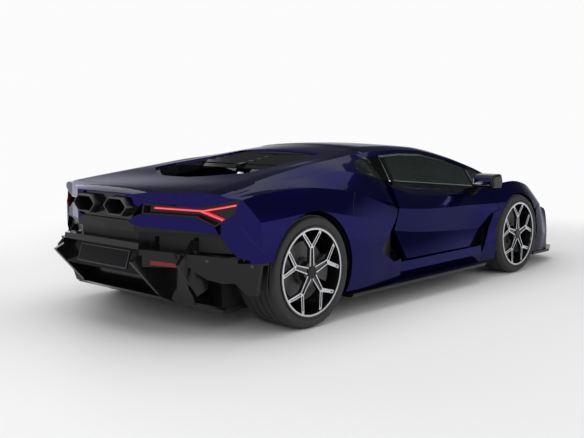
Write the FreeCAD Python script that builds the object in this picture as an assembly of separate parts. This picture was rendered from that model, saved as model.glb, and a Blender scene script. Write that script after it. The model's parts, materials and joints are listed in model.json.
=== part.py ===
"""Low mid-engined supercar: body panels, glass, doors, lid, chassis, cabin and wheels.

Frame in millimetres: X to the car's left, Y towards the tail, Z up, floor at Z = 0.
The left side is drawn and the right side is its mirror image.
"""
import FreeCAD, Part
import math
import os

V = FreeCAD.Vector

# overall car
LENGTH = 4947.0
WIDTH = 2033.0
WHEELBASE = 2779.0
FRONT_OVERHANG = 1168.0
NOSE_Y = -LENGTH / 2.0
FRONT_AXLE_Y = NOSE_Y + FRONT_OVERHANG
REAR_AXLE_Y = FRONT_AXLE_Y + WHEELBASE

# wheels
FRONT_TYRE_R = 346.0
REAR_TYRE_R = 369.0
FRONT_TYRE_W = 265.0
REAR_TYRE_W = 345.0
FRONT_RIM_R = 270.0
REAR_RIM_R = 282.0
FRONT_FACE_X = 985.0
REAR_FACE_X = 1008.0
FRONT_ARCH_R = 360.0
FRONT_ARCH_X = 900.0
FRONT_LINER_R = 424.0
REAR_ARCH_R = 396.0
SPOKE_COUNT = 5
HUB_R = 68.0
SPOKE_T = 26.0
POCKET_T = 6.0
DISC_T = 34.0
FRONT_DISC_R = 205.0
REAR_DISC_R = 195.0
HUB_BORE_R = 18.0

# walls and gaps
SKIN = 22.0
NOSE_WALL = 25.3
DOOR_T = 75.0
GLASS_T = 6.0
PILLAR_T = 38.0
SHUT_GAP = 6.0
SEAT_GAP = 0.3
RUN_GAP = 6.0
FLOOR_T = 30.0
FLOOR_Z = 112.0

TUB_X = 844.3
PAD_X = 700.0
PAD_FRONT_Y = -760.0
PAD_REAR_Y = 960.0
PAD_R = 32.0
PAD_T = 8.0
FIN_A_X = 411.0
FIN_B_X = 640.0
FIN_T = 28.0
PLATE_W = 520.0
PLATE_H = 112.0
PLATE_T = 4.0

# door hinge and lid hinge
DOOR_HINGE_X = 846.0
DOOR_HINGE_Y = -1000.0
DOOR_HINGE_Z = 731.0
DOOR_HINGE_LEAN = 0.28
DOOR_PIN_R = 6.0
DOOR_BORE_R = 6.4
DOOR_BOSS_R = 12.0
WINDOW_GAP = 14.0
DOOR_SHOULDER_X = 797.0
LID_HINGE_Y = -1416.0
LID_HINGE_Z = 708.0
LID_REAR_Y = -1400.0
LID_PIN_R = 6.0
LID_PIN_X = 547.0
LID_LUG_X = 590.0
LUG_HALF = 12.0
LID_BOSS_R = 13.0

# long feature lines of the left side: distance along the car, half width, height
SILL_LOW = [(-2473, 860, 128), (-2165, 880, 124), (-2010, 890, 128),
            (-1773, 930, 140), (-1305, 950, 150), (-900, 930, 160), (-560, 925, 165),
            (450, 945, 170)]
SILL_CREASE = [(-2473, 850, 245), (-2165, 872, 264), (-2010, 890, 284),
               (-1850, 945, 300), (-1560, 975, 300), (-1305, 980, 300), (-1000, 965, 300),
               (-560, 932, 304), (0, 945, 310), (450, 958, 318)]
SIDE_HOLLOW = [(-2473, 815, 335), (-2165, 838, 380), (-2010, 860, 405),
               (-1850, 935, 430), (-1560, 980, 450), (-1305, 988, 460), (-1000, 960, 440),
               (-560, 900, 450), (0, 885, 480), (450, 872, 530)]
WAIST = [(-2473, 715, 415), (-2165, 758, 505), (-2010, 795, 540),
         (-1850, 900, 565), (-1560, 975, 630), (-1305, 990, 650), (-1000, 958, 640),
         (-560, 925, 650), (0, 930, 665), (450, 925, 700)]
FENDER_CREST = [(-2473, 570, 445), (-2165, 635, 556), (-2010, 690, 615),
                (-1850, 790, 682), (-1560, 880, 772), (-1305, 897, 808), (-1000, 880, 790),
                (-560, 870, 745), (0, 870, 760), (450, 860, 850)]
BELT = [(-2473, 400, 452), (-2165, 490, 560), (-2010, 560, 605),
        (-1850, 640, 648), (-1560, 710, 700), (-1305, 725, 735), (-1000, 765, 745),
        (-737, 790, 742), (-335, 795, 785), (-24, 800, 808), (265, 805, 845),
        (450, 800, 888)]
BONNET_Z = [(-2473, 460), (-2319, 525), (-2165, 572), (-2010, 615), (-1850, 655),
            (-1560, 708), (-1305, 742), (-1000, 760), (450, 896)]

HAUNCH_LOW = [(440, 945, 170), (1000, 985, 185), (1473, 1000, 200), (1950, 1000, 290),
              (2380, 960, 330)]
HAUNCH_CREASE = [(440, 960, 318), (1000, 1003, 330), (1473, 1016, 400), (1971, 1012, 500),
                 (2126, 1003, 541), (2380, 965, 590)]
HAUNCH_WAIST = [(440, 968, 600), (800, 985, 650), (1071, 1000, 700), (1473, 1012, 760),
                (1800, 1008, 740), (2126, 998, 720), (2380, 975, 700)]
HAUNCH_CREST = [(440, 950, 680), (700, 955, 768), (992, 945, 855), (1160, 935, 882),
                (1473, 915, 908), (1800, 910, 897), (2050, 925, 862), (2380, 945, 772)]
HAUNCH_VALLEY = [(440, 905, 712), (700, 880, 800), (992, 850, 868), (1160, 835, 882),
                 (1473, 835, 908), (1800, 855, 906), (2050, 885, 877), (2380, 910, 797)]

CABIN_BASE = [(-1350, 700, 690), (-1000, 750, 700), (-737, 775, 700), (-24, 790, 760),
              (440, 795, 800)]
CABIN_BELT = [(-1350, 715, 745), (-1000, 765, 750), (-737, 790, 745), (-335, 795, 788),
              (-24, 800, 811), (265, 805, 848), (450, 800, 892), (705, 775, 957),
              (900, 745, 985), (1160, 750, 965), (1473, 775, 948), (1800, 815, 925),
              (2050, 850, 890), (2380, 880, 815)]
RAIL = [(-1350, 705, 775), (-1250, 695, 835), (-1143, 672, 888), (-900, 648, 965),
        (-670, 622, 1026), (-294, 598, 1092), (100, 586, 1108), (450, 590, 1096),
        (705, 605, 1075), (878, 625, 1058), (1100, 655, 1040), (1473, 700, 992),
        (1800, 758, 946), (2050, 805, 906), (2380, 840, 834)]
ROOF_EDGE = [(-1350, 560, 762), (-1143, 545, 893), (-900, 525, 992), (-740, 505, 1046),
             (-331, 490, 1118), (0, 470, 1137), (250, 470, 1139), (450, 480, 1122),
             (705, 510, 1092), (992, 545, 1056), (1473, 600, 1002), (1800, 660, 957),
             (2050, 710, 922), (2380, 745, 858)]
ROOF_Z = [(-1350, 745), (-1250, 800), (-1143, 868), (-900, 985), (-740, 1055), (-500, 1110),
          (-331, 1135), (0, 1156), (250, 1160), (450, 1150), (705, 1120), (1000, 1075),
          (1400, 1020), (1560, 995), (1788, 960), (2050, 938), (2190, 930), (2380, 884)]

STATION_STEP = 160.0

# plan of the swept nose and tail, half width and distance along the car
SIDE_INTAKE = [(345, 180), (770, 180), (845, 330), (640, 378), (420, 300)]
MIDDLE_SLOT = [(-270, 165), (270, 165), (225, 222), (-225, 222)]
NOSE_PLAN = [(0, -2473.5), (330, -2442), (610, -2345), (780, -2205), (880, -2050), (925, -1900),
             (1010, -1700)]
TAIL_PLAN = [(0, 2366), (300, 2358), (650, 2172), (858, 2084), (1060, 1900)]
LIP_PLAN = [(0, 2425), (411, 2405), (640, 2242), (903, 2037), (1012, 1950)]
REAR_END = 2380.0

# outlines of openings, lids and panes, in side view or in plan
FRONT_LINES = [SILL_LOW, SILL_CREASE, SIDE_HOLLOW, WAIST, FENDER_CREST, BELT]
REAR_LINES = [HAUNCH_LOW, HAUNCH_CREASE, HAUNCH_WAIST, HAUNCH_CREST, HAUNCH_VALLEY, CABIN_BELT,
              RAIL, ROOF_EDGE]
UPPER_LINES = [CABIN_BASE, CABIN_BELT, RAIL, ROOF_EDGE]
DOOR_OUTLINE = [(-970, 900), (-952, 784), (-930, 754), (-922, 719), (-927, 694), (-942, 657),
                (-1000, 585), (-860, 552), (-562, 308), (365, 318),
                (380, 365), (418, 549), (428, 772), (428, 900)]
SIDE_WINDOW = [(-1130, 868), (-900, 938), (-670, 1000), (-294, 1066), (0, 1080), (285, 1072),
               (370, 878), (265, 848), (-24, 811), (-335, 788), (-737, 745), (-1000, 755),
               (-1130, 800)]
DOOR_WINDOW = [(-885, 942), (-670, 1000), (-294, 1066), (0, 1080), (285, 1072), (370, 838),
               (265, 800), (-24, 765), (-335, 742), (-737, 700), (-934, 700)]
FRONT_LIGHT = [(-1130, 868), (-905, 936.5), (-940, 740), (-1000, 740), (-1130, 780)]
WINDSCREEN = [(-655, -1350), (655, -1350), (640, -1143), (600, -800), (540, -390), (250, -350),
              (-250, -350), (-540, -390), (-600, -800), (-640, -1143)]
LID = [(-430, -2085), (430, -2085), (590, -1800), (625, -1500), (560, -1400), (-560, -1400),
       (-625, -1500), (-590, -1800)]
QUARTER_WINDOW = [(455, 900), (690, 965), (660, 1040), (455, 1065)]
HEX_OPENING = [(-140, 1788), (140, 1788), (280, 1713), (490, 1559), (500, 1350), (425, 720),
               (-425, 720), (-500, 1350), (-490, 1559), (-280, 1713)]

# tail: panel edges and the engine opening's frame
QUARTER_SIDE = [(434, 150), (1480, 150), (1480, 484), (2140, 484), (2140, 1300), (434, 1300)]
LAMP_FIELD = [(345, 768), (655, 755), (777, 702), (828, 734), (886, 781), (914, 868), (668, 814),
              (356, 835)]
CORNER_EDGE = [(777, 702), (803, 659), (903, 518), (1040, 478), (1100, 400), (500, 400)]
HOUSING_HEX = [(-216, 885), (-332, 812), (-250, 724), (250, 724), (332, 812), (216, 885)]
DECK_EDGE = [(560, 440), (560, 700), (600, 1000), (690, 1473), (760, 1800), (815, 2060),
             (815, 2400)]
DECK_SIDE = DECK_EDGE + [(1200, 2400), (1200, 440)]
WING_EDGE = [(365, 2190), (556, 2212), (520, 2400)]
BLADE_GAP = [(430, 330), (430, 705), (466, 699), (716, 424), (667, 387), (544, 322)]
WING_Y = 2046.0

# exhausts: six-sided pods
EXHAUST_X = 166.0
EXHAUST_Z = 808.0
POD_W = 131.0
POD_H = 63.0
POD_END_Y = 2402.0
POD_CORNER_R = 14.0


def along(line, y):
    """Value or values of a feature line at y, by a smooth curve that does not overshoot."""
    pts = [p if len(p) > 2 else (p[0], p[1], p[1]) for p in line]
    n = len(pts)
    if y <= pts[0][0]:
        return pts[0][1], pts[0][2]
    if y >= pts[-1][0]:
        return pts[-1][1], pts[-1][2]
    i = 0
    while pts[i + 1][0] < y:
        i += 1
    out = []
    for k in (1, 2):
        step = [(pts[j + 1][k] - pts[j][k]) / (pts[j + 1][0] - pts[j][0]) for j in range(n - 1)]
        lean = []
        for j in (i, i + 1):
            if j == 0:
                lean.append(step[0])
            elif j == n - 1:
                lean.append(step[-1])
            elif step[j - 1] * step[j] <= 0:
                lean.append(0.0)
            else:
                lean.append(2.0 * step[j - 1] * step[j] / (step[j - 1] + step[j]))
        h = pts[i + 1][0] - pts[i][0]
        t = (y - pts[i][0]) / h
        out.append(pts[i][k] * (1 + 2 * t) * (1 - t) ** 2 + lean[0] * h * t * (1 - t) ** 2
                   + pts[i + 1][k] * t * t * (3 - 2 * t) + lean[1] * h * t * t * (t - 1))
    return out[0], out[1]


def stations(start, end):
    """Evenly spaced places between two ends, so that the lofts stay calm."""
    count = max(4, int(round((end - start) / STATION_STEP)))
    return [start + (end - start) * k / count for k in range(count + 1)]


def inset_half(points, wall):
    """Half section (x, z) from bottom to top, moved inwards by a wall thickness."""
    out = []
    n = len(points)
    for i, (x, z) in enumerate(points):
        before = points[i - 1] if i > 0 else (0.0, points[0][1])
        after = points[i + 1]  if i < n - 1 else (0.0, points[-1][1])
        ax, az = x - before[0], z - before[1]
        bx, bz = after[0] - x, after[1] - z
        la = math.hypot(ax, az) or 1.0
        lb = math.hypot(bx, bz) or 1.0
        nx, nz = -(az / la + bz / lb), (ax / la + bx / lb)
        ln = math.hypot(nx, nz) or 1.0
        nx, nz = nx / ln, nz / ln
        cosine = max(0.35, nx * (-az / la) + nz * (ax / la))
        out.append((max(5.0, x + nx * wall / cosine), z + nz * wall / cosine))
    return out


def section(points, top_z, y, crown):
    """Closed section at y: straight bottom, slightly crowned sides, one arc over the top."""
    right = [V(-x, y, z) for x, z in reversed(points)]
    left = [V(x, y, z) for x, z in points]
    edges = [Part.LineSegment(right[-1], left[0]).toShape()]

    def side(a, b):
        chord = b - a
        out = V(chord.z, 0, -chord.x)
        if out.Length < 1e-6:
            out = V(0, 0, 1)
        out.normalize()
        mid = (a + b) * 0.5 + out * (crown * chord.Length)
        return Part.Arc(a, mid, b).toShape()

    for a, b in zip(left[:-1], left[1:]):
        edges.append(side(a, b))
    edges.append(Part.Arc(left[-1], V(0, y, top_z), right[0]).toShape())
    for a, b in zip(right[:-1], right[1:]):
        edges.append(side(a, b))
    return Part.Wire(edges)


def body_loft(lines, top_line, stations, wall=0.0, crown=0.02, ends=(0.0, 0.0)):
    """Closed solid through the stations; a wall moves it inwards, ends trim it in length."""
    wires = []
    for k, y in enumerate(stations):
        at = y
        if k == 0:
            at = y + ends[0]
        if k == len(stations) - 1:
            at = y - ends[1]
        pts = [along(line, at) for line in lines]
        top = along(top_line, at)[0]
        if wall:
            pts = inset_half(pts, wall)
            top = top - wall
        if top - pts[-1][1] < 1.0:
            top = pts[-1][1] + 1.0
        wires.append(section(pts, top, at, crown))
    return Part.makeLoft(wires, True, False)


def prism(points, a, b, axis):
    """Straight prism of a plane outline: axis X takes (y, z), Y takes (x, z), Z takes (x, y)."""
    if axis == "X":
        vs = [V(a, p[0], p[1]) for p in points]
        way = V(b - a, 0, 0)
    elif axis == "Y":
        vs = [V(p[0], a, p[1]) for p in points]
        way = V(0, b - a, 0)
    else:
        vs = [V(p[0], p[1], a) for p in points]
        way = V(0, 0, b - a)
    return Part.Face(Part.makePolygon(vs + [vs[0]])).extrude(way)


def box(x0, x1, y0, y1, z0, z1):
    return Part.makeBox(x1 - x0, y1 - y0, z1 - z0, V(x0, y0, z0))


def tube(a, b, radius):
    way = b - a
    return Part.makeCylinder(radius, way.Length, a, way)


def mirror(shape):
    return shape.mirror(V(0, 0, 0), V(1, 0, 0))


def largest(shape):
    return max(shape.Solids, key=lambda s: s.Volume)


def fuse(shapes):
    out = shapes[0]
    if len(shapes) > 1:
        out = out.multiFuse(shapes[1:])
    return out.removeSplitter()


def shrink(points, gap):
    """Outline moved inwards by a gap, for outlines that run either way round."""
    area = sum(points[i - 1][0] * points[i][1] - points[i][0] * points[i - 1][1]
               for i in range(len(points)))
    sign = 1.0 if area > 0 else -1.0
    out = []
    n = len(points)
    for i in range(n):
        p, q, r = points[i - 1], points[i], points[(i + 1) % n]
        ax, ay = q[0] - p[0], q[1] - p[1]
        bx, by = r[0] - q[0], r[1] - q[1]
        la, lb = math.hypot(ax, ay), math.hypot(bx, by)
        nx, ny = -(ay / la + by / lb), ax / la + bx / lb
        ln = math.hypot(nx, ny) or 1.0
        nx, ny = nx / ln, ny / ln
        cosine = max(0.4, nx * (-ay / la) + ny * (ax / la))
        out.append((q[0] + sign * nx * gap / cosine, q[1] + sign * ny * gap / cosine))
    return out


def arch(axle_y, hub_z, radius, inner_x=520.0):
    """Round wheel opening, from an inner plane outwards."""
    return Part.makeCylinder(radius, 700.0, V(inner_x, axle_y, hub_z), V(1, 0, 0))


def front_arch():
    return arch(FRONT_AXLE_Y, FRONT_TYRE_R, FRONT_ARCH_R, FRONT_ARCH_X)


def build_masters():
    """The closed outer forms and their inner walls that every body panel is cut from."""
    front = stations(NOSE_Y, 450.0)
    rear = stations(440.0, REAR_END)
    upper = stations(-1350.0, 440.0)
    tail = tail_prism(TAIL_PLAN, 0.0)
    tail_in = tail_prism(TAIL_PLAN, SKIN * 1.15)
    bay = body_loft(FRONT_LINES, BONNET_Z, front, SKIN + SHUT_GAP, ends=(80, -4))
    return {
        "bay": bay,
        "front": body_loft(FRONT_LINES, BONNET_Z, front).common(nose_prism(0.0)),
        "front_in": body_loft(FRONT_LINES, BONNET_Z, front, SKIN, ends=(4, -4)).common(
            nose_prism(NOSE_WALL)),
        "door_in": body_loft(FRONT_LINES, BONNET_Z, front, DOOR_T, ends=(90, -4)),
        "rear": body_loft(REAR_LINES, ROOF_Z, rear).common(tail),
        "rear_in": body_loft(REAR_LINES, ROOF_Z, rear, SKIN, ends=(-4, 4)).common(tail_in),
        "rear_glass_in": body_loft(REAR_LINES, ROOF_Z, rear, GLASS_T, ends=(-4, 40)),
        "upper": body_loft(UPPER_LINES, ROOF_Z, upper),
        "upper_in": body_loft(UPPER_LINES, ROOF_Z, upper, PILLAR_T, ends=(60, -4)),
        "glass_in": body_loft(UPPER_LINES, ROOF_Z, upper, GLASS_T, ends=(8, -4)),
    }


def end_prism(plan, inset, far_y):
    """Everything inside a swept end of the car, moved towards the middle by an inset."""
    way = 1.0 if far_y > plan[0][1] else -1.0
    half = [(x, y + way * inset) for x, y in plan]
    half = half + [(half[-1][0], far_y)]
    return prism(half + [(-x, y) for x, y in reversed(half[1:])], 0.0, 1300.0, "Z")


def tail_prism(plan, inset):
    return end_prism(plan, inset, 300.0)


def nose_prism(inset):
    return end_prism(NOSE_PLAN, inset, 500.0)


def both(shape):
    return Part.makeCompound([shape, mirror(shape)])


def front_shell(m, area):
    return m["front"].common(area).cut(m["front_in"])


def rear_shell(m, area):
    return m["rear"].common(area).cut(m["rear_in"])


def make_fender(m):
    """Front wing of the left side, with its arch and the fin ahead of the side vent."""
    side = prism([(-2010, 610), (-1630, 556), (-1400, 420), (-1150, 150), (-735, 150),
                  (-735, 205), (-905, 545), (-886, 720), (-886, 900), (-2010, 900)], 300, 1200,
                 "X")
    shape = front_shell(m, side)
    shape = shape.cut(prism(shrink(DOOR_OUTLINE, -SHUT_GAP / 2), DOOR_SHOULDER_X - SHUT_GAP, 1200,
                            "X"))
    shape = shape.cut(front_arch()).cut(box(0, 926, -1700, -700, 0, 215))
    shape = shape.cut(prism(shrink(LID, -SHUT_GAP), 0, 1200, "Z"))
    shape = shape.cut(box(-720, 700, LID_REAR_Y, -700, 0, 1200))
    shape = shape.cut(headlamp_area(SEAT_GAP))
    shape = shape.cut(box(LID_PIN_X, LID_LUG_X - 2, LID_HINGE_Y - 24, LID_REAR_Y + 1, 690, 900))
    lug = box(LID_LUG_X, LID_LUG_X + 25, LID_HINGE_Y - LUG_HALF, LID_HINGE_Y + LUG_HALF,
              LID_HINGE_Z - LID_PIN_R, LID_HINGE_Z + 14)
    pin = Part.makeCylinder(LID_PIN_R, LID_LUG_X + 25 - LID_PIN_X,
                            V(LID_PIN_X, LID_HINGE_Y, LID_HINGE_Z), V(1, 0, 0))
    bracket = box(858, 872, DOOR_HINGE_Y - LUG_HALF, DOOR_HINGE_Y + LUG_HALF, 716, 768)
    door_pin = tube(door_hinge_point(829), door_hinge_point(866), DOOR_PIN_R)
    return largest(shape.multiFuse([pin, lug, bracket, door_pin]))


def door_hinge_point(x):
    """Point of the left door's leaning hinge line at a distance from the car's middle."""
    return V(x, DOOR_HINGE_Y, DOOR_HINGE_Z - DOOR_HINGE_LEAN * (x - DOOR_HINGE_X))


def headlamp_area(gap):
    outline = [(545, 492), (700, 566), (790, 640), (812, 604), (770, 520), (690, 455)]
    return prism(shrink(outline, -gap), -2480, -1850, "Y")


def make_headlamps(m):
    lamp = m["front"].common(headlamp_area(0.0)).cut(m["front_in"])
    return both(largest(lamp))


def make_nose(m):
    """Front bumper shell, from arch to arch, with the lamp and intake openings."""
    side = prism([(-2600, 0), (-1640, 0), (-1640, 550), (-2016, 604), (-2016, 900), (-2600, 900)],
                 -1200, 1200, "X")
    shape = front_shell(m, side)
    wheel = front_arch()
    lamp = headlamp_area(SEAT_GAP)
    shape = shape.cut([wheel, mirror(wheel), lamp, mirror(lamp)] + front_openings())
    shape = shape.cut(prism(shrink(LID, -SHUT_GAP), 0, 1200, "Z"))
    under = [(0, -2425), (325, -2394), (590, -2298), (746, -2172), (838, -2030), (868, -1880),
             (880, -1620)]
    under = under + [(-x, y) for x, y in reversed(under[1:])]
    return largest(shape.cut(prism(under, 0, 175, "Z")))


def front_openings():
    """Cutters of the two side intakes and of the middle slot in the nose."""
    side = prism(SIDE_INTAKE, -2600, -1950, "Y")
    return [side, mirror(side), prism(MIDDLE_SLOT, -2600, -2300, "Y")]


def make_front_grilles(m):
    """Black wall and slats behind each opening of the nose."""
    wall = [(x, y + 48) for x, y in NOSE_PLAN[:5]]
    wall = wall + [(x, y + 58) for x, y in reversed(NOSE_PLAN[:5])]
    back = fuse([prism(wall, 150, 385, "Z"), mirror(prism(wall, 150, 385, "Z"))])
    slats = []
    for z in (205, 245, 285, 325):
        blade = [(x, y + NOSE_WALL + SEAT_GAP) for x, y in NOSE_PLAN[:5]]
        blade = blade + [(x, y + 50) for x, y in reversed(NOSE_PLAN[:5])]
        slats.append(prism(blade, z, z + 6, "Z"))
        slats.append(mirror(slats[-1]))
    area = prism(shrink(SIDE_INTAKE, -12), -2600, -1950, "Y")
    middle = prism(shrink(MIDDLE_SLOT, -12), -2600, -2300, "Y")
    grid = fuse([back] + slats).common(m["front_in"])
    return Part.makeCompound([largest(grid.common(a)) for a in (area, mirror(area), middle)])


def make_lid(m):
    """Front lid with a hinge boss at each rear corner, bored for the wing's pin."""
    lid = largest(front_shell(m, prism(LID, 300, 1200, "Z")))
    for x in (538.0, -565.0):
        boss = Part.makeCylinder(LID_BOSS_R, 27, V(x, LID_HINGE_Y, LID_HINGE_Z), V(1, 0, 0))
        bore = Part.makeCylinder(LID_PIN_R + 0.4, 60, V(x - 15, LID_HINGE_Y, LID_HINGE_Z),
                                 V(1, 0, 0))
        lid = lid.fuse(boss).cut(bore)
    return largest(lid)


def make_cowl(m):
    """Scuttle under the foot of the windscreen."""
    area = prism([(-694, -1384), (694, -1384), (694, -1180), (-694, -1180)], 500, 1200, "Z")
    shape = front_shell(m, area).cut(m["upper"])
    return largest(shape)


def make_door(m):
    """Left door: a thick panel, and the arm that runs forward to its leaning hinge pin."""
    area = prism(shrink(DOOR_OUTLINE, SHUT_GAP / 2), 715, 1200, "X")
    shape = m["front"].common(area).cut(m["door_in"])
    shape = shape.cut(box(0, DOOR_SHOULDER_X, -1100, -880, 600, 1200))
    shape = largest(shape.cut(box(0, DOOR_SHOULDER_X, 338, 460, 600, 1200)))
    boss = tube(door_hinge_point(836), door_hinge_point(853), DOOR_BOSS_R)
    arm = bar(DOOR_HINGE_Y, DOOR_HINGE_Z, -945, 640, 22, 26, 840, 852)
    lug = box(840, 905, -956, -930, 627, 653)
    bore = tube(door_hinge_point(826), door_hinge_point(870), DOOR_BORE_R)
    return largest(shape.multiFuse([boss, arm, lug]).cut(bore))


def make_door_glass(m):
    """Window of the left door, standing on the door's shoulder."""
    area = prism(shrink(DOOR_WINDOW, WINDOW_GAP), 450, 1200, "X")
    glass = m["upper"].common(area).cut(m["glass_in"]).cut(lifted(m["front"]))
    wing = m["front"].common(box(0, 1200, -1400, -875, 0, 1300))
    return largest(glass.cut(wing.translated(V(0, 0, SHUT_GAP))))


def make_front_light(m):
    """Small fixed window between the screen pillar and the door's window."""
    area = prism(shrink(FRONT_LIGHT, SEAT_GAP), 450, 1200, "X")
    return largest(m["upper"].common(area).cut(m["glass_in"]).cut(lifted(m["front"])))


def lifted(shape):
    """Copy raised by the seat gap, to cut what stands on it."""
    return shape.translated(V(0, 0, SEAT_GAP))


def make_roof(m):
    """Roof panel with both screen pillars and the centre pillars, in one shell."""
    above = prism([(-1400, 795), (-1130, 803), (-1000, 763), (-737, 753), (-335, 796), (-24, 819),
                   (265, 856), (376, 886), (439.7, 901), (439.7, 1300), (-1400, 1300)],
                  -1200, 1200, "X")
    shell = m["upper"].common(above).cut(m["upper_in"])
    for sx in (1, -1):
        hole = prism(SIDE_WINDOW, 300 * sx, 1200 * sx, "X")
        shell = shell.cut(hole)
    return largest(shell.cut(prism(WINDSCREEN, 500, 1300, "Z")))


def make_windscreen(m):
    area = prism(shrink(WINDSCREEN, SEAT_GAP), 500, 1300, "Z")
    above = prism([(-1400, 745), (-1200, 748), (-300, 790), (-300, 1300), (-1400, 1300)],
                  -900, 900, "X")
    return largest(m["upper"].common(area).common(above).cut(m["glass_in"]))


def make_quarter(m):
    """Rear wing of the left side: haunch, side blade, pillar and rail up to the roof."""
    side = prism(QUARTER_SIDE, 500, 1200, "X")
    beside = prism(DECK_SIDE, 100, 1300, "Z")
    shape = m["rear"].common(side).common(beside).cut(m["rear_in"])
    shape = shape.cut(arch(REAR_AXLE_Y, REAR_TYRE_R, REAR_ARCH_R))
    shape = shape.cut(prism(QUARTER_WINDOW, 400, 1200, "X"))
    shape = shape.cut(prism(BLADE_GAP, 700, 1200, "X"))
    shape = shape.cut(box(0, 905, 400, 2400, 0, 420))
    shape = shape.cut(tail_face(CORNER_EDGE + [(500, 484), (500, 702)], 1990))
    return largest(shape.cut(tail_face(shrink(LAMP_FIELD, -SEAT_GAP), 1990)))


def tail_face(points, start):
    """Front-view outline of the left side, carried back through the tail."""
    return prism(points, start, 2600, "Y")


def edge_x(y):
    for (xa, ya), (xb, yb) in zip(DECK_EDGE[:-1], DECK_EDGE[1:]):
        if ya <= y <= yb:
            return xa + (xb - xa) * (y - ya) / (yb - ya)
    return DECK_EDGE[-1][0]


def make_deck(m):
    """Roof tail and engine deck between the rails, with the six-sided engine opening."""
    half = [(x - SEAT_GAP, y) for x, y in DECK_EDGE if 444.0 < y < WING_Y]
    half = [(edge_x(444.0) - SEAT_GAP, 444.0)] + half
    half = half + [(edge_x(WING_Y) - SEAT_GAP, WING_Y), (365, 2190 - SHUT_GAP)]
    plan = half + [(-x, y) for x, y in reversed(half)]
    shape = rear_shell(m, prism(plan, 600, 1300, "Z"))
    shape = shape.cut(prism(HEX_OPENING, 600, 1300, "Z"))
    return largest(shape)


def make_engine_frame(m):
    """Black frame inside the engine opening, with slanting louvres over its front part."""
    outer = prism(shrink(HEX_OPENING, SEAT_GAP), 770, 1300, "Z")
    inner = prism(shrink(HEX_OPENING, 34), 700, 1300, "Z")
    sunk = m["rear"].translated(V(0, 0, -14))
    ring = outer.cut(inner)
    blades = []
    for k in range(5):
        y = 748.0 + 82.0 * k
        z = along(ROOF_Z, y + 30)[0] - 46
        blades.append(prism([(y, z + 26), (y + 92, z - 22), (y + 92, z - 28), (y, z + 20)], -480,
                            480, "X"))
    slats = fuse([outer.common(b) for b in blades[:1]] + [outer.common(b) for b in blades[1:]])
    spine = outer.common(box(-24, 24, 720, 1170, 850, 1300))
    spine = spine.common(m["rear"].translated(V(0, 0, -30))).cut(
        m["rear"].translated(V(0, 0, -62)))
    ring = ring.cut(m["rear"].translated(V(0, 0, -84)))
    return largest(fuse([ring, slats, spine]).common(sunk))


def make_rear_wing(m):
    """Middle of the painted tail, over the exhausts."""
    plan = [(x - SEAT_GAP, y) for x, y in WING_EDGE]
    plan = plan + [(-x, y) for x, y in reversed(plan)]
    shape = rear_shell(m, prism(plan, 600, 1300, "Z"))
    low = [(-560, 0), (-560, 828), (-356, 835.3), (-332, 812), (-216, 885.3), (216, 885.3),
           (332, 812), (356, 835.3), (560, 828), (560, 0)]
    return largest(shape.cut(prism(low, 2000, 2600, "Y")))


def make_quarter_glass(m):
    area = prism(shrink(QUARTER_WINDOW, SEAT_GAP), 450, 1200, "X")
    return largest(m["rear"].common(area).cut(m["rear_glass_in"]))


def make_sill():
    """Painted sill under the left door, between the front vent and the rear wing."""
    return prism([(TUB_X, 165), (925, 165), (948, 230), (940, 300), (905, 302), (TUB_X, 302)],
                 -730, 428, "Y")


def make_side_blades():
    """Black blade along the foot of each sill, with its turned lip."""
    outline = [(TUB_X, 138), (985, 138), (1003, 150), (1003, 164), (960, 164.6), (TUB_X, 164.6)]
    return both(prism(outline, -720, 1060, "Y"))


def make_side_vents():
    """Duct wall behind each front wheel, standing on the rocker behind the wing's fin."""
    wall = prism([(-868, 296.3), (-590, 296.3), (-600, 330), (-850, 540), (-868, 540)],
                 814, 826, "X")
    return both(wall)


def make_intake_ducts(m):
    """Inner wall of each side intake, running back to the rear wing."""
    wall = prism([(850, 440), (862, 440), (1000, 860), (988, 860)], 322, 712, "Z")
    return both(largest(wall.common(m["rear_in"].translated(V(-SEAT_GAP, 0, 0)))))


def tail_wall(plan, inset, depth, z0, z1, x_end):
    """Upright wall along a swept plan, set forward by an inset, out to a half width."""
    half = [(x, y - inset) for x, y in plan if x < x_end]
    half = half + [(x_end, plan_y(plan, x_end) - inset)]
    inner = [(x, y - depth) for x, y in half]
    outer = [(-x, y) for x, y in reversed(half[1:])] + half
    return prism(outer + list(reversed(inner)) + [(-x, y) for x, y in inner[1:]], z0, z1, "Z")


def plan_y(plan, x):
    for (xa, ya), (xb, yb) in zip(plan[:-1], plan[1:]):
        if xa <= x <= xb:
            return ya + (yb - ya) * (x - xa) / (xb - xa)
    return plan[-1][1]


def two_sided(points):
    """Front-view outline of the left side joined with its mirror image at the middle."""
    return points + [(-x, z) for x, z in reversed(points) if x > 0]


def make_tail_hood(m):
    """Painted lip over the tail lamps, from the middle to the rear wing panels."""
    side = [(x - SEAT_GAP, y) for x, y in DECK_EDGE if y > WING_Y]
    side = [(edge_x(WING_Y) - SEAT_GAP, WING_Y + SHUT_GAP)] + side
    inner = [(x + SEAT_GAP, y) for x, y in WING_EDGE]
    plan = inner + list(reversed(side))
    shape = rear_shell(m, prism(plan, 600, 1300, "Z"))
    shape = shape.cut(tail_face([(300, 0), (900, 0), (900, 868), (668, 814.3), (356, 835.3),
                                 (300, 835)], 2000))
    return both(largest(shape))


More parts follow.
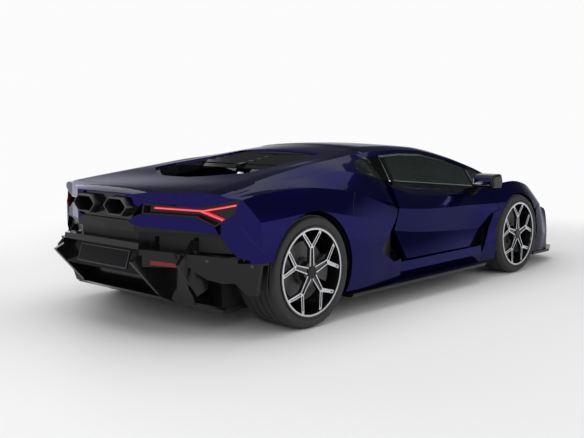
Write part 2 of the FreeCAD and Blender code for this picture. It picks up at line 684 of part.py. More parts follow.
def make_lamp_housing(m):
    """Black recess for the tail lamps, set into the tail on each side."""
    wall = tail_wall(TAIL_PLAN, 58, 14, 690, 900, 935)
    inside = m["rear_in"].translated(V(-SEAT_GAP, 0, -SEAT_GAP))
    back = wall.common(tail_face(shrink(LAMP_FIELD, -14), 1800)).common(inside)
    rim = tail_prism(TAIL_PLAN, 4).common(tail_face(LAMP_FIELD, 1990.3))
    rim = rim.cut(tail_face(shrink(LAMP_FIELD, 9), 1800)).cut(tail_prism(TAIL_PLAN, 58.5))
    return both(largest(fuse([largest(back), largest(rim)])))


def make_tail_lamps():
    """Forked light strip on each side of the tail."""
    outline = [(392, 799), (655, 787), (797, 735), (806, 745), (690, 790), (884, 831), (882, 841),
               (672, 797), (392, 809)]
    strip = tail_face(outline, 1900).common(tail_prism(TAIL_PLAN, 42))
    return both(largest(strip.cut(tail_prism(TAIL_PLAN, 57.6))))


def make_rear_panel(m):
    """Painted panel between the lamps and the black lower bumper."""
    half = [(802.7, 659), (776.7, 701.6), (655, 754.6), (345, 767.6), (330, 765), (251, 723.6),
            (262, 710), (345, 690)]
    shape = m["rear"].cut(m["rear_in"]).common(tail_face(half, 1990))
    return both(largest(shape))


def make_tail_centre(m):
    """Black skin under the exhausts, between and below the painted panels."""
    half = [(0, 655.1), (800, 658), (345, 689.5), (261.4, 709.6), (250.4, 723.4), (0, 723.6)]
    shape = m["rear"].cut(m["rear_in"]).common(prism(two_sided(half), 1990, 2600, "Y"))
    return largest(shape)


def make_rear_grille():
    """Black grille wall between the painted panel and the lip of the diffuser."""
    half = [(0, 540), (862, 540), (802, 654.6), (0, 654.6)]
    wall = tail_wall(TAIL_PLAN, 34, 12, 500, 700, 900)
    wall = wall.common(prism(two_sided(half), 1990, 2600, "Y"))
    for x in (FIN_A_X, FIN_B_X):
        for sx in (1, -1):
            reach = FIN_T / 2 + SEAT_GAP
            wall = wall.cut(box(sx * x - reach, sx * x + reach, 1900, 2600, 500, 630))
    return largest(wall)


def make_exhaust_surround():
    """Dark six-sided housing that carries both exhaust ends."""
    outer = prism(HOUSING_HEX, 2240, 2345, "Y")
    hole = pod_loft(SEAT_GAP)
    return largest(outer.cut([hole, mirror(hole)]))


def hexagon(cx, half_w, half_h):
    flat = half_w - half_h * 1.1
    return [(cx - half_w, EXHAUST_Z), (cx - flat, EXHAUST_Z - half_h),
            (cx + flat, EXHAUST_Z - half_h), (cx + half_w, EXHAUST_Z),
            (cx + flat, EXHAUST_Z + half_h), (cx - flat, EXHAUST_Z + half_h)]


def hex_wire(half_w, half_h, y, radius=POD_CORNER_R):
    """Six-sided outline with rounded corners, across the car."""
    pts = [V(x, y, z) for x, z in hexagon(EXHAUST_X, half_w, half_h)]
    edges = []
    ends = []
    for k, p in enumerate(pts):
        to_last = (pts[k - 1] - p).normalize()
        to_next = (pts[(k + 1) % 6] - p).normalize()
        half = math.acos(max(-1.0, min(1.0, to_last.dot(to_next)))) / 2
        reach = radius / math.tan(half)
        start = p + to_last * reach
        stop = p + to_next * reach
        centre = p + (to_last + to_next).normalize() * (radius / math.sin(half))
        crown = centre + (p - centre).normalize() * radius
        edges.append(Part.Arc(start, crown, stop).toShape())
        ends.append((start, stop))
    closed = []
    for k, edge in enumerate(edges):
        closed.append(edge)
        closed.append(Part.makeLine(ends[k][1], ends[(k + 1) % 6][0]))
    return Part.Wire(closed)


def pod_loft(gap):
    """Outer form of the left exhaust end, widest where it leaves its housing."""
    wires = [hex_wire(POD_W + gap, POD_H + gap, 2180), hex_wire(POD_W + gap, POD_H + gap, 2352),
             hex_wire(POD_W - 9, POD_H - 8, POD_END_Y)]
    return Part.makeLoft(wires, True, True)


def make_exhausts():
    """Two rounded six-sided exhaust ends, open at the tail."""
    bore = Part.makeLoft([hex_wire(84, 27, 2195), hex_wire(POD_W - 18, POD_H - 16,
                                                           POD_END_Y + 0.5)], True, True)
    return both(pod_loft(0.0).cut(bore))


def make_diffuser():
    """Black lower rear bumper: lip, plate recess, outer skins, fins and tunnel floor."""
    lip = tail_wall(LIP_PLAN, 0, 60, 455, 575, 1011)
    slope = [(0, 575), (439, 560), (641, 537), (846, 517), (1011, 483), (1011, 470), (700, 440),
             (660, 455), (0, 455)]
    lip = lip.common(prism(two_sided(slope), 1700, 2600, "Y"))
    pieces = [lip.cut(box(-FIN_A_X, FIN_A_X, 2200, 2600, 400, 600))]
    outer = tail_wall(LIP_PLAN, 4, 24, 280, 530, 1005)
    skirt = [(660, 500), (674, 437), (748, 382), (821, 358), (880, 362), (940, 286), (982, 286),
             (1004, 480), (900, 505)]
    for sx in (1, -1):
        side = prism([(sx * x, z) for x, z in skirt], 1700, 2600, "Y")
        pieces.append(outer.common(side))
    pieces.append(prism([(2334, 560), (2404, 560), (2398, 598), (2334, 603)], -400, 400, "X"))
    pieces.append(prism([(2335, 561), (2346, 561), (2399, 402), (2378, 402)], -400, 400, "X"))
    pieces.append(prism([(1900, 130), (2140, 195), (2160, 226), (1900, 148)], -640, 640, "X"))
    pieces.append(prism([(2130, 192), (2262, 250), (2244, 262), (2130, 212)],
                        -FIN_A_X, FIN_A_X, "X"))
    pieces.append(prism([(2150, 206), (2166, 214), (2282, 539), (2262, 539)], -632, 632, "X"))
    fin_a = [(2180, 600), (2243, 614), (2348, 549), (LENGTH / 2, 492), (2455, 468), (2244, 241),
             (2120, 228), (2043, 263), (2120, 420)]
    fin_b = [(2100, 590), (2171, 616), (2233, 544), (2302, 478), (2156, 266), (2063, 300),
             (2040, 460)]
    for x, outline in ((FIN_A_X, fin_a), (FIN_B_X, fin_b)):
        for sx in (1, -1):
            pieces.append(prism(outline, sx * x - FIN_T / 2, sx * x + FIN_T / 2, "X"))
    wing = prism(shrink(QUARTER_SIDE, -SEAT_GAP), -1200, 1200, "X")
    wing = wing.cut(box(-896, 896, 0, 2600, 0, 1300))
    return largest(fuse(pieces).cut(wing))


def make_reflectors():
    """Red reflector on each side of the diffuser lip."""
    bar = tail_face([(470, 470), (600, 455), (600, 478), (470, 494)], 2200)
    bar = bar.common(tail_wall(LIP_PLAN, -SEAT_GAP - 3, 3, 440, 500, 700))
    return both(largest(bar))


def make_plate():
    """Blank number plate, leaning with the recess of the bumper."""
    plate = box(-PLATE_W / 2, PLATE_W / 2, 0, PLATE_T, -PLATE_H / 2, PLATE_H / 2)
    plate.rotate(V(0, 0, 0), V(1, 0, 0), math.degrees(math.atan2(53, 159)))
    plate.translate(V(0, 2373.98, 478))
    return plate


def make_splitter():
    half = [(0, NOSE_Y), (300, -2450), (640, -2365), (800, -2310), (905, -2060), (900, -1750),
            (840, -1750), (820, -1990), (560, -2080), (0, -2110)]
    whole = half + [(-x, y) for x, y in reversed(half[1:-1])]
    return prism(whole, 100, 124 - SEAT_GAP, "Z")


def make_floor():
    """Under-floor, cabin tub with its rockers, bulkheads and centre tunnel."""
    half = [(0, -2100), (540, -2040), (540, -1760), (495, -1740), (495, -880), (844, -860),
            (844, 1040), (610, 1060), (610, 1900), (0, 1900)]
    whole = half + [(-x, y) for x, y in reversed(half[1:-1])]
    floor = prism(whole, FLOOR_Z, FLOOR_Z + FLOOR_T, "Z")
    top = FLOOR_Z + FLOOR_T
    pieces = [floor]
    for sx in (1, -1):
        xs = sorted((sx * 650, sx * 844))
        pieces.append(box(xs[0], xs[1], -860, 1040, top, 296))
        xs = sorted((sx * 380, sx * 494))
        pieces.append(box(xs[0], xs[1], -1990, -930, top, 400))
        xs = sorted((sx * 480, sx * 600))
        pieces.append(box(xs[0], xs[1], 560, 1900, top, 330))
    pieces.append(box(-494, 494, -990, -930, top, 640))
    pieces.append(box(-700, 700, 500, 560, top, 860))
    pieces.append(box(-130, 130, -930, 500, top, 400))
    for x in (-PAD_X, PAD_X):
        for y in (PAD_FRONT_Y, PAD_REAR_Y):
            pieces.append(Part.makeCylinder(PAD_R, PAD_T + 10, V(x, y, FLOOR_Z - PAD_T)))
    return fuse(pieces)


def make_engine():
    """Engine and gearbox block with its ribbed cover under the deck opening."""
    block = box(-330, 330, 760, 1420, 170, 620)
    gear = box(-170, 170, 640, 760, 180, 520)
    plenum = prism([(-300, 620), (-340, 700), (-300, 850), (-210, 890), (210, 890), (300, 850),
                    (340, 700), (300, 620)], 860, 1380, "Y")
    box_top = box(-200, 200, 1420, 1700, 260, 760)
    ribs = [box(x - 9, x + 9, 880, 1360, 885, 902) for x in (-150, -90, 90, 150)]
    cross = prism([(-230, 885), (230, 885), (205, 912), (-205, 912)], 1250, 1330, "Y")
    return fuse([block, gear, plenum, box_top, cross] + ribs)


def make_seats():
    """Pair of low bucket seats."""
    side = [(-330, 180), (250, 160), (330, 230), (470, 820), (400, 840), (350, 800), (150, 300),
            (-320, 290)]
    seat = prism(side, 175, 605, "X")
    seat = seat.cut(box(225, 555, -340, 170, 255, 400))
    base = box(230, 550, -250, 180, FLOOR_Z + FLOOR_T + SEAT_GAP, 200)
    return both(fuse([seat, base]))


def make_dashboard():
    side = [(-866, 430), (-560, 470), (-520, 600), (-640, 690), (-866, 680)]
    return fuse([prism(side, -640, 640, "X"), box(-490, 490, -929.7, -860, 430, 630)])


def make_steering_wheel():
    ring = Part.makeTorus(165, 15, V(0, 0, 0), V(0, 0, 1))
    hub = Part.makeCylinder(48, 40, V(0, 0, -20))
    bars = box(-160, 160, -14, 14, -8, 8)
    column = Part.makeCylinder(22, 240, V(0, 0, -260))
    wheel = fuse([ring, hub, bars, column])
    wheel.rotate(V(0, 0, 0), V(1, 0, 0), -68)
    wheel.translate(V(390, -330, 610))
    return largest(wheel.cut(make_dashboard().translated(V(0, SEAT_GAP, 0))))


def make_mirror(m):
    """Door mirror of the left side on its short arm."""
    shell = prism([(-62, -60), (66, -52), (84, 0), (58, 52), (-62, 58), (-88, 0)], 0, 200, "X")
    shell = shell.makeFillet(22, shell.Edges)
    shell.translate(V(925, -660, 848))
    arm = prism([(800, 700), (815, 770), (960, 815), (960, 795), (870, 700)], -700, -640, "Y")
    return largest(fuse([shell, arm]).cut(lifted(m["front"])))


def tyre_ring(radius, width, bead_r, face_x, axle_y):
    half = width / 2.0
    mid = face_x - half
    wall = radius - bead_r
    pts = [(half - 24, bead_r), (half - 22, bead_r + 16), (half, bead_r + 0.48 * wall),
           (half - 9, radius - 15), (half - 36, radius)]
    pts = pts + [(-x, r) for x, r in reversed(pts)]
    face = Part.Face(Part.makePolygon([V(mid + x, axle_y, radius + r) for x, r in pts]
                                      + [V(mid + pts[0][0], axle_y, radius + pts[0][1])]))
    return face.revolve(V(0, axle_y, radius), V(1, 0, 0), 360)


def bar(y0, z0, y1, z1, w0, w1, x0, x1):
    """Tapered bar in the wheel plane, from one point to another."""
    length = math.hypot(y1 - y0, z1 - z0)
    ny, nz = -(z1 - z0) / length, (y1 - y0) / length
    pts = [(y0 + ny * w0 / 2, z0 + nz * w0 / 2), (y1 + ny * w1 / 2, z1 + nz * w1 / 2),
           (y1 - ny * w1 / 2, z1 - nz * w1 / 2), (y0 - ny * w0 / 2, z0 - nz * w0 / 2)]
    return prism(pts, x0, x1, "X")


def rim_solid(bead_r, width, face_x, axle_y, hub_z):
    """Rim barrel with five arms that each fork to two places on the lip."""
    lip = bead_r + 14.0
    depth = width - 14.0
    out_x = face_x - 7.0
    profile = [(0, lip), (0, bead_r - 6), (-14, bead_r - 10), (-depth, bead_r - 10),
               (-depth, lip), (-depth + 14, lip), (-depth + 14, bead_r - SEAT_GAP),
               (-14, bead_r - SEAT_GAP), (-14, lip)]
    pts = [V(out_x + x, axle_y, hub_z + r) for x, r in profile]
    barrel = Part.Face(Part.makePolygon(pts + [pts[0]]))
    barrel = barrel.revolve(V(0, axle_y, hub_z), V(1, 0, 0), 360)
    hub_x = out_x - 62.0
    hub = Part.makeCylinder(HUB_R, 50.0, V(hub_x, axle_y, hub_z), V(1, 0, 0))
    bars, pockets = [], []
    fork = bead_r * 0.56
    end = bead_r - 8.0
    spread = math.pi / SPOKE_COUNT / 2.0
    for k in range(SPOKE_COUNT):
        a = math.pi / 2 + 2 * math.pi * k / SPOKE_COUNT
        y1, z1 = axle_y + fork * math.cos(a), hub_z + fork * math.sin(a)
        y0, z0 = axle_y + 40 * math.cos(a), hub_z + 40 * math.sin(a)
        bars.append(bar(y0, z0, y1, z1, 46, 34, out_x - 8 - SPOKE_T, out_x - 8))
        pockets.append(bar(y0, z0, y1, z1, 30, 20, out_x - 8 - POCKET_T, out_x))
        for s in (-spread, spread):
            y2, z2 = axle_y + end * math.cos(a + s), hub_z + end * math.sin(a + s)
            bars.append(bar(y1, z1, y2, z2, 26, 22, out_x - 8 - SPOKE_T, out_x - 8))
            y3, z3 = y1 + (y2 - y1) * 0.12, z1 + (z2 - z1) * 0.12
            y4, z4 = y1 + (y2 - y1) * 0.86, z1 + (z2 - z1) * 0.86
            pockets.append(bar(y3, z3, y4, z4, 13, 10, out_x - 8 - POCKET_T, out_x))
    shape = fuse([barrel, hub] + bars).cut(pockets)
    bore = Part.makeCylinder(HUB_BORE_R, 44.0, V(hub_x - 4, axle_y, hub_z), V(1, 0, 0))
    return shape.cut(bore)


def disc_solid(disc_r, face_x, axle_y, hub_z):
    """Brake disc with its bell, bolted to the back of the rim hub."""
    x1 = face_x - 7.0 - 62.0
    x0 = x1 - 62.0
    ring = Part.makeCylinder(disc_r, DISC_T, V(x0, axle_y, hub_z), V(1, 0, 0))
    bell = Part.makeCylinder(HUB_R + 22, x1 - x0, V(x0, axle_y, hub_z), V(1, 0, 0))
    inner = Part.makeCylinder(HUB_R + 12, x1 - x0 - 10, V(x0 - 1, axle_y, hub_z), V(1, 0, 0))
    bore = Part.makeCylinder(HUB_BORE_R, x1 - x0 + 2, V(x0 - 1, axle_y, hub_z), V(1, 0, 0))
    return fuse([ring, bell]).cut(inner).cut(bore)


def caliper_solid(disc_r, face_x, axle_y, hub_z, side):
    """Brake caliper over the rim of the disc, on the side given."""
    x1 = face_x - 7.0 - 62.0
    x0 = x1 - 62.0
    outer = Part.makeCylinder(disc_r + 22, DISC_T + 60, V(x0 - 30, axle_y, hub_z), V(1, 0, 0))
    outer = outer.cut(Part.makeCylinder(disc_r - 85, DISC_T + 62, V(x0 - 31, axle_y, hub_z),
                                        V(1, 0, 0)))
    slot = Part.makeCylinder(disc_r + RUN_GAP, DISC_T + 2 * RUN_GAP,
                             V(x0 - RUN_GAP, axle_y, hub_z), V(1, 0, 0))
    wedge = prism([(axle_y, hub_z), (axle_y + side * 400, hub_z - 190),
                   (axle_y + side * 400, hub_z + 190)], 0, 1200, "X")
    return largest(outer.cut(slot).common(wedge))


def knuckle_solid(face_x, axle_y, hub_z, disc_r, side):
    """Hub carrier with its spindle and caliper."""
    x1 = face_x - 7.0 - 62.0
    x0 = x1 - 62.0
    post = box(x0 - 86, x0 - 40, axle_y - 34, axle_y + 34, hub_z - 110, hub_z + 110)
    flange = Part.makeCylinder(52, 34, V(x0 - 42, axle_y, hub_z), V(1, 0, 0))
    spindle = Part.makeCylinder(HUB_BORE_R - SEAT_GAP, x1 - x0 + 44, V(x0 - 10, axle_y, hub_z),
                                V(1, 0, 0))
    caliper = caliper_solid(disc_r, face_x, axle_y, hub_z, side)
    reach = side * (disc_r - 30)
    ys = sorted((axle_y + side * 20, axle_y + reach))
    arm = box(x0 - 60, x0 - 30.0, ys[0], ys[1], hub_z - 40, hub_z + 40)
    return fuse([post, flange, spindle, caliper, arm])


def wishbones(pivot_x, axle_y, hub_z, roots):
    """Lower and upper arms of one wheel, with their outer joints on the steering axis."""
    pieces = []
    for level, spread, root_x in ((-123.3, 150.0, roots[0]), (123.3, 110.0, roots[1])):
        z = hub_z + level
        tip = V(pivot_x, axle_y, z)
        pieces.append(Part.makeCylinder(24, 26, V(pivot_x, axle_y, z - 13)))
        for sy in (1, -1):
            root = V(root_x, axle_y + sy * spread, z)
            pieces.append(tube(root, tip, 13))
    return pieces


def front_suspension():
    """Arms of the steered wheels, on a tower and a lower bracket beside the tub's rails."""
    pivot = FRONT_FACE_X - 7.0 - 62.0 - 62.0 - 63.0
    tower = box(430, 496, FRONT_AXLE_Y - 180, FRONT_AXLE_Y + 180, 400.3, 520)
    bracket = box(494.3, 522, FRONT_AXLE_Y - 170, FRONT_AXLE_Y + 170, 205, 241)
    arms = wishbones(pivot, FRONT_AXLE_Y, FRONT_TYRE_R, (508, 470))
    return Part.makeCompound([s for k, mount in ((0, bracket), (1, tower))
                              for s in both(fuse(arms[3 * k:3 * k + 3] + [mount])).Solids])


def rear_suspension():
    """Arms and fixed hub carriers of the driven wheels, with their half shafts."""
    knuckle = knuckle_solid(REAR_FACE_X, REAR_AXLE_Y, REAR_TYRE_R, REAR_DISC_R, -1)
    pivot = REAR_FACE_X - 7.0 - 62.0 - 62.0 - 63.0
    arms = wishbones(pivot, REAR_AXLE_Y, REAR_TYRE_R, (614, 540))
    shaft = Part.makeCylinder(20, pivot - 200.3, V(200.3, REAR_AXLE_Y, REAR_TYRE_R), V(1, 0, 0))
    rail = box(540, 600, REAR_AXLE_Y - 180, REAR_AXLE_Y + 180, 330.3, 520)
    bracket = box(600.3, 628, REAR_AXLE_Y - 170, REAR_AXLE_Y + 170, 228, 264)
    return both(fuse([knuckle, shaft, rail, bracket] + arms))


def liner(axle_y, hub_z, radius, x0, x1, z_top):
    """Wheel-house wall: inner plate and the curved skin round the tyre."""
    ring = Part.makeCylinder(radius + 6, x1 - x0, V(x0, axle_y, hub_z), V(1, 0, 0))
    ring = ring.cut(Part.makeCylinder(radius, x1 - x0, V(x0 + 6, axle_y, hub_z), V(1, 0, 0)))
    foot = FLOOR_Z + FLOOR_T + SEAT_GAP
    ring = ring.common(box(x0 - 1, x1 + 1, axle_y - 500, axle_y + 500, foot, z_top))
    opening = box(x0 - 2, x0 + 8, axle_y - 200, axle_y + 200, 142, 560)
    return ring.cut(opening)


def make_liners(m):
    """Wheel-house walls of all four wheels, under the skin of the wings."""
    front = liner(FRONT_AXLE_Y, FRONT_TYRE_R, FRONT_LINER_R, 494.3, 805, 800)
    under_lid = prism(shrink(LID, -SHUT_GAP), 0, 1300, "Z")
    near = front.common(m["front_in"].translated(V(0, 0, -SEAT_GAP))).cut(under_lid)
    front = largest(near.fuse(front.common(m["bay"]).common(under_lid)).removeSplitter())
    front = front.cut(box(480, 506, LID_HINGE_Y - 26, LID_HINGE_Y + 38, 676, 800))
    wall = m["rear_in"].translated(V(-SEAT_GAP, 0, SEAT_GAP))
    rear = largest(liner(REAR_AXLE_Y, REAR_TYRE_R, 402, 600.3, 990, 800).common(wall))
    return Part.makeCompound(both(front).Solids + both(rear).Solids)


def wheel_nodes():
    """Tyre, rim and disc of each of the four wheels."""
    out = {}
    data = (("front", FRONT_TYRE_R, FRONT_TYRE_W, FRONT_RIM_R, FRONT_FACE_X, FRONT_AXLE_Y,
             FRONT_DISC_R),
            ("rear", REAR_TYRE_R, REAR_TYRE_W, REAR_RIM_R, REAR_FACE_X, REAR_AXLE_Y,
             REAR_DISC_R))
    for end, radius, width, bead_r, face_x, axle_y, disc_r in data:
        tyre = tyre_ring(radius, width, bead_r, face_x, axle_y)
        rim = rim_solid(bead_r, width, face_x, axle_y, radius)
        disc = disc_solid(disc_r, face_x, axle_y, radius)
        for side in ("left", "right"):
            turn = (lambda s: s) if side == "left" else mirror
            out["tyre_%s_%s" % (end, side)] = turn(tyre)
            out["rim_%s_%s" % (end, side)] = turn(rim)
            out["disc_%s_%s" % (end, side)] = turn(disc)
    return out


def pairs(name, shape):
    return {name + "_left": shape, name + "_right": mirror(shape)}


def build():
    m = build_masters()
    parts = {}
    parts.update(pairs("fender", make_fender(m)))
    parts.update(pairs("door", make_door(m)))
    parts.update(pairs("door_glass", make_door_glass(m)))
    parts.update(pairs("quarter", make_quarter(m)))
    panes = both(make_quarter_glass(m)).Solids + both(make_front_light(m)).Solids
    parts["quarter_windows"] = Part.makeCompound(panes)
    parts["front_grilles"] = make_front_grilles(m)
    parts["nose"] = make_nose(m)
    parts["headlamps"] = make_headlamps(m)
    parts["front_lid"] = make_lid(m)
    parts["cowl"] = make_cowl(m)
    parts["roof_frame"] = make_roof(m)
    parts["windscreen"] = make_windscreen(m)
    parts["engine_deck"] = make_deck(m)
    parts["engine_frame"] = make_engine_frame(m)
    parts["rear_wing"] = make_rear_wing(m)
    parts["sills"] = both(make_sill())
    parts["side_blades"] = make_side_blades()
    ducts = make_side_vents().Solids + make_intake_ducts(m).Solids
    parts["intake_ducts"] = Part.makeCompound(ducts)
    parts["tail_hood"] = make_tail_hood(m)
    parts["lamp_housing"] = make_lamp_housing(m)
    lights = make_tail_lamps().Solids + make_reflectors().Solids
    parts["tail_lamps"] = Part.makeCompound(lights)
    parts["rear_panel"] = make_rear_panel(m)
    parts["rear_grille"] = Part.makeCompound([make_rear_grille(), make_tail_centre(m)])
    parts["exhaust_surround"] = make_exhaust_surround()
    parts["exhausts"] = make_exhausts()
    parts["diffuser"] = make_diffuser()
    parts["number_plate"] = make_plate()
    parts["splitter"] = make_splitter()
    parts["floor_tub"] = make_floor()
    parts["engine"] = make_engine()
    parts["seats"] = make_seats()
    parts["dashboard"] = make_dashboard()
    parts["steering_wheel"] = make_steering_wheel()
    parts.update(pairs("mirror", make_mirror(m)))
    knuckle = knuckle_solid(FRONT_FACE_X, FRONT_AXLE_Y, FRONT_TYRE_R, FRONT_DISC_R, 1)
    parts.update(pairs("knuckle", knuckle))
    parts["front_suspension"] = front_suspension()
    parts["rear_suspension"] = rear_suspension()
    parts["wheel_liners"] = make_liners(m)
    parts.update(wheel_nodes())
    return parts


def main():
    os.makedirs("parts", exist_ok=True)
    for name, shape in build().items():
        shape.exportStep("parts/%s.step" % name)
        print(name, shape.isValid(), len(shape.Solids), round(shape.Volume / 1e6, 2))


if __name__ == "__main__":
    main()
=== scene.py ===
"""Looks of the low mid-engined supercar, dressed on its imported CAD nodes.

Metres: X to the car's left, Y towards the tail, Z up, floor at Z = 0.
"""
import json
import math

import bmesh
import bpy
from mathutils import Matrix, Vector
from mathutils.bvhtree import BVHTree


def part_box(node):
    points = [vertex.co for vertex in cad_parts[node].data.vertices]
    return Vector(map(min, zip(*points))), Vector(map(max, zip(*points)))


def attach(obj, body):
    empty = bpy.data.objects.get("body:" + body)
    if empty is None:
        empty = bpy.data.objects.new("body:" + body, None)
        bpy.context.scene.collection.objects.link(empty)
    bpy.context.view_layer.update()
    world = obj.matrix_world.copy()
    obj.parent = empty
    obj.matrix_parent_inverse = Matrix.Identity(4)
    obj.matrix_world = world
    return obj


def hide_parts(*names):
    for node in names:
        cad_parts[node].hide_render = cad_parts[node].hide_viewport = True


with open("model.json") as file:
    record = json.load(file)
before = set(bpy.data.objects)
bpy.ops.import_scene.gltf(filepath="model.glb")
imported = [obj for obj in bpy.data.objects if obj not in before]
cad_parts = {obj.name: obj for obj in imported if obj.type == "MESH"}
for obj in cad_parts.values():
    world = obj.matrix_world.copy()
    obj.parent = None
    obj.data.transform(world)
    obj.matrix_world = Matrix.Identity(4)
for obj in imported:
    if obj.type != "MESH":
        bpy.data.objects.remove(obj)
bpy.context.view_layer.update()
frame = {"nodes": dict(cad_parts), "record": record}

NODES = frame["nodes"]

# camera at the photograph's place and angle
CAMERA_PLACE = Vector((-4.5894, 5.5805, 1.347))
CAMERA_YAW = -0.828
CAMERA_PITCH = -0.1154
LENS_MM = 52.96
SENSOR_MM = 36.0

# floor: where its shaded tone starts to fade, and where it is all white
FLOOR_FADE_START = 2.8
FLOOR_FADE_END = 6.0

# gloss sees a white wall that turns to a dark ceiling between these heights of its ray
CEILING_START = 0.05
CEILING_FULL = 0.26

# wheels: axle place, outer face, tyre width, tyre radius, bead radius (metres)
FRONT_WHEEL = {"y": -1.3055, "z": 0.346, "face": 0.985, "width": 0.265, "radius": 0.346,
               "bead": 0.270}
REAR_WHEEL = {"y": 1.4735, "z": 0.369, "face": 1.008, "width": 0.345, "radius": 0.369,
              "bead": 0.282}
TREAD_STEPS = 120
TREAD_DEPTH = 0.0065
TREAD_RIBS = 5
TREAD_GROOVE = 0.009
CROWN_EDGE = 0.036
SHOULDER_SIPE = 0.0016
RIB_SIPE = 0.0009
SPOKE_SET_BACK = 0.015
SPOKE_POCKET = 0.006
FORK_AT = 0.585
WHEEL_BOLTS = 5
BOLT_CIRCLE_R = 0.053
BOLT_R = 0.009
BOLT_HEIGHT = 0.010
FULL_TURN = 2 * math.pi

# top of the reflectors below the tail lamps
REFLECTOR_TOP = 0.60

# door mirror glass: centre of the left one, half width, half height, thickness
MIRROR_GLASS = {"centre": (1.024, -0.5765, 0.847), "half_x": 0.080, "half_z": 0.031,
                "depth": 0.016, "corner": 0.014}

# louvres ahead of the engine opening, interrupted at the middle spine
LOUVRES = 5
LOUVRE_START = 0.790
LOUVRE_PITCH = 0.082
LOUVRE_HALF = 0.385
LOUVRE_WIDENING = 0.012
LOUVRE_SPINE = 0.045

# radius of beads laid on the skin: panel joints, lamp cores, day-light guides, louvre lips
JOINT_R = 0.0013
CORE_R = 0.0024
GUIDE_R = 0.0045
LIP_R = 0.004
# start of a ray before its point, and its reach
RAY_BEFORE = 0.6
RAY_REACH = 1.6

# parking sensors and the plate's holder
SENSOR_R = 0.0105
SENSOR_HEIGHT = 0.002
HOLDER_MARGIN = 0.008
HOLDER_WIDTH = 0.011
HOLDER_HEIGHT = 0.004

# exhaust: span along the car over which the pipes turn paler grey towards the open end
PALE_TIP_START = 2.36
PALE_TIP_END = 2.405

# bands in the side view, each a direction across the band in Y and Z and where it starts:
# black pillar behind the door's window, ahead of the quarter window, under the roof line
PILLAR_EDGES = [(0.940, 0.342, 0.600), (-1.0, 0.0, -0.458), (-0.047, -0.999, -1.0862),
                (-0.261, 0.965, 0.7497)]
# printed border of a door window: rear edge by the pillar, and front tip
WINDOW_BANDS = [(0.940, 0.342, 0.580), (-0.985, 0.170, 0.985)]


# materials: shared effects

def node_group(name, inputs, outputs):
    """New shader node group with named float or colour sockets."""
    group = bpy.data.node_groups.new(name, "ShaderNodeTree")
    for label, kind, value in inputs:
        socket = group.interface.new_socket(label, in_out="INPUT", socket_type=kind)
        socket.default_value = value
    for label, kind in outputs:
        group.interface.new_socket(label, in_out="OUTPUT", socket_type=kind)
    entry = group.nodes.new("NodeGroupInput")
    leave = group.nodes.new("NodeGroupOutput")
    return group, entry, leave


def maths(nodes, links, operation, first, second=0.0):
    """Math node fed by sockets or plain numbers."""
    node = nodes.new("ShaderNodeMath")
    node.operation = operation
    for slot, value in enumerate((first, second)):
        if isinstance(value, (int, float)):
            node.inputs[slot].default_value = value
        else:
            links.new(value, node.inputs[slot])
    return node.outputs[0]


def blend_colour(nodes, links, factor, first, second):
    """Mix of two colours, each a socket or plain red, green and blue."""
    mix = nodes.new("ShaderNodeMix")
    mix.data_type = "RGBA"
    links.new(factor, mix.inputs["Factor"])
    for slot, value in ((6, first), (7, second)):
        if isinstance(value, tuple):
            mix.inputs[slot].default_value = (*value, 1)
        else:
            links.new(value, mix.inputs[slot])
    return mix.outputs[2]


def over(nodes, links, mask, below, above):
    """Shader mix that shows the second shader where the mask is high."""
    mix = nodes.new("ShaderNodeMixShader")
    links.new(mask, mix.inputs["Fac"])
    links.new(below, mix.inputs[1])
    links.new(above, mix.inputs[2])
    return mix.outputs["Shader"]


def speckle_group():
    """Colour, roughness and height that vary a little over a surface, at a chosen grain."""
    group, entry, leave = node_group(
        "speckle",
        [("Color A", "NodeSocketColor", (0, 0, 0, 1)), ("Color B", "NodeSocketColor", (1, 1, 1, 1)),
         ("Scale", "NodeSocketFloat", 100.0), ("Rough Low", "NodeSocketFloat", 0.3),
         ("Rough High", "NodeSocketFloat", 0.5)],
        [("Color", "NodeSocketColor"), ("Roughness", "NodeSocketFloat"),
         ("Height", "NodeSocketFloat")])
    nodes, links = group.nodes, group.links
    place = nodes.new("ShaderNodeTexCoord")
    noise = nodes.new("ShaderNodeTexNoise")
    noise.inputs["Detail"].default_value = 3.0
    rough = nodes.new("ShaderNodeMapRange")
    rough.inputs["From Min"].default_value = 0.3
    rough.inputs["From Max"].default_value = 0.7
    links.new(place.outputs["Object"], noise.inputs["Vector"])
    links.new(entry.outputs["Scale"], noise.inputs["Scale"])
    links.new(noise.outputs["Fac"], rough.inputs["Value"])
    links.new(entry.outputs["Rough Low"], rough.inputs["To Min"])
    links.new(entry.outputs["Rough High"], rough.inputs["To Max"])
    colour = blend_colour(nodes, links, noise.outputs["Fac"], entry.outputs["Color A"],
                          entry.outputs["Color B"])
    links.new(colour, leave.inputs["Color"])
    links.new(rough.outputs["Result"], leave.inputs["Roughness"])
    links.new(noise.outputs["Fac"], leave.inputs["Height"])
    return group


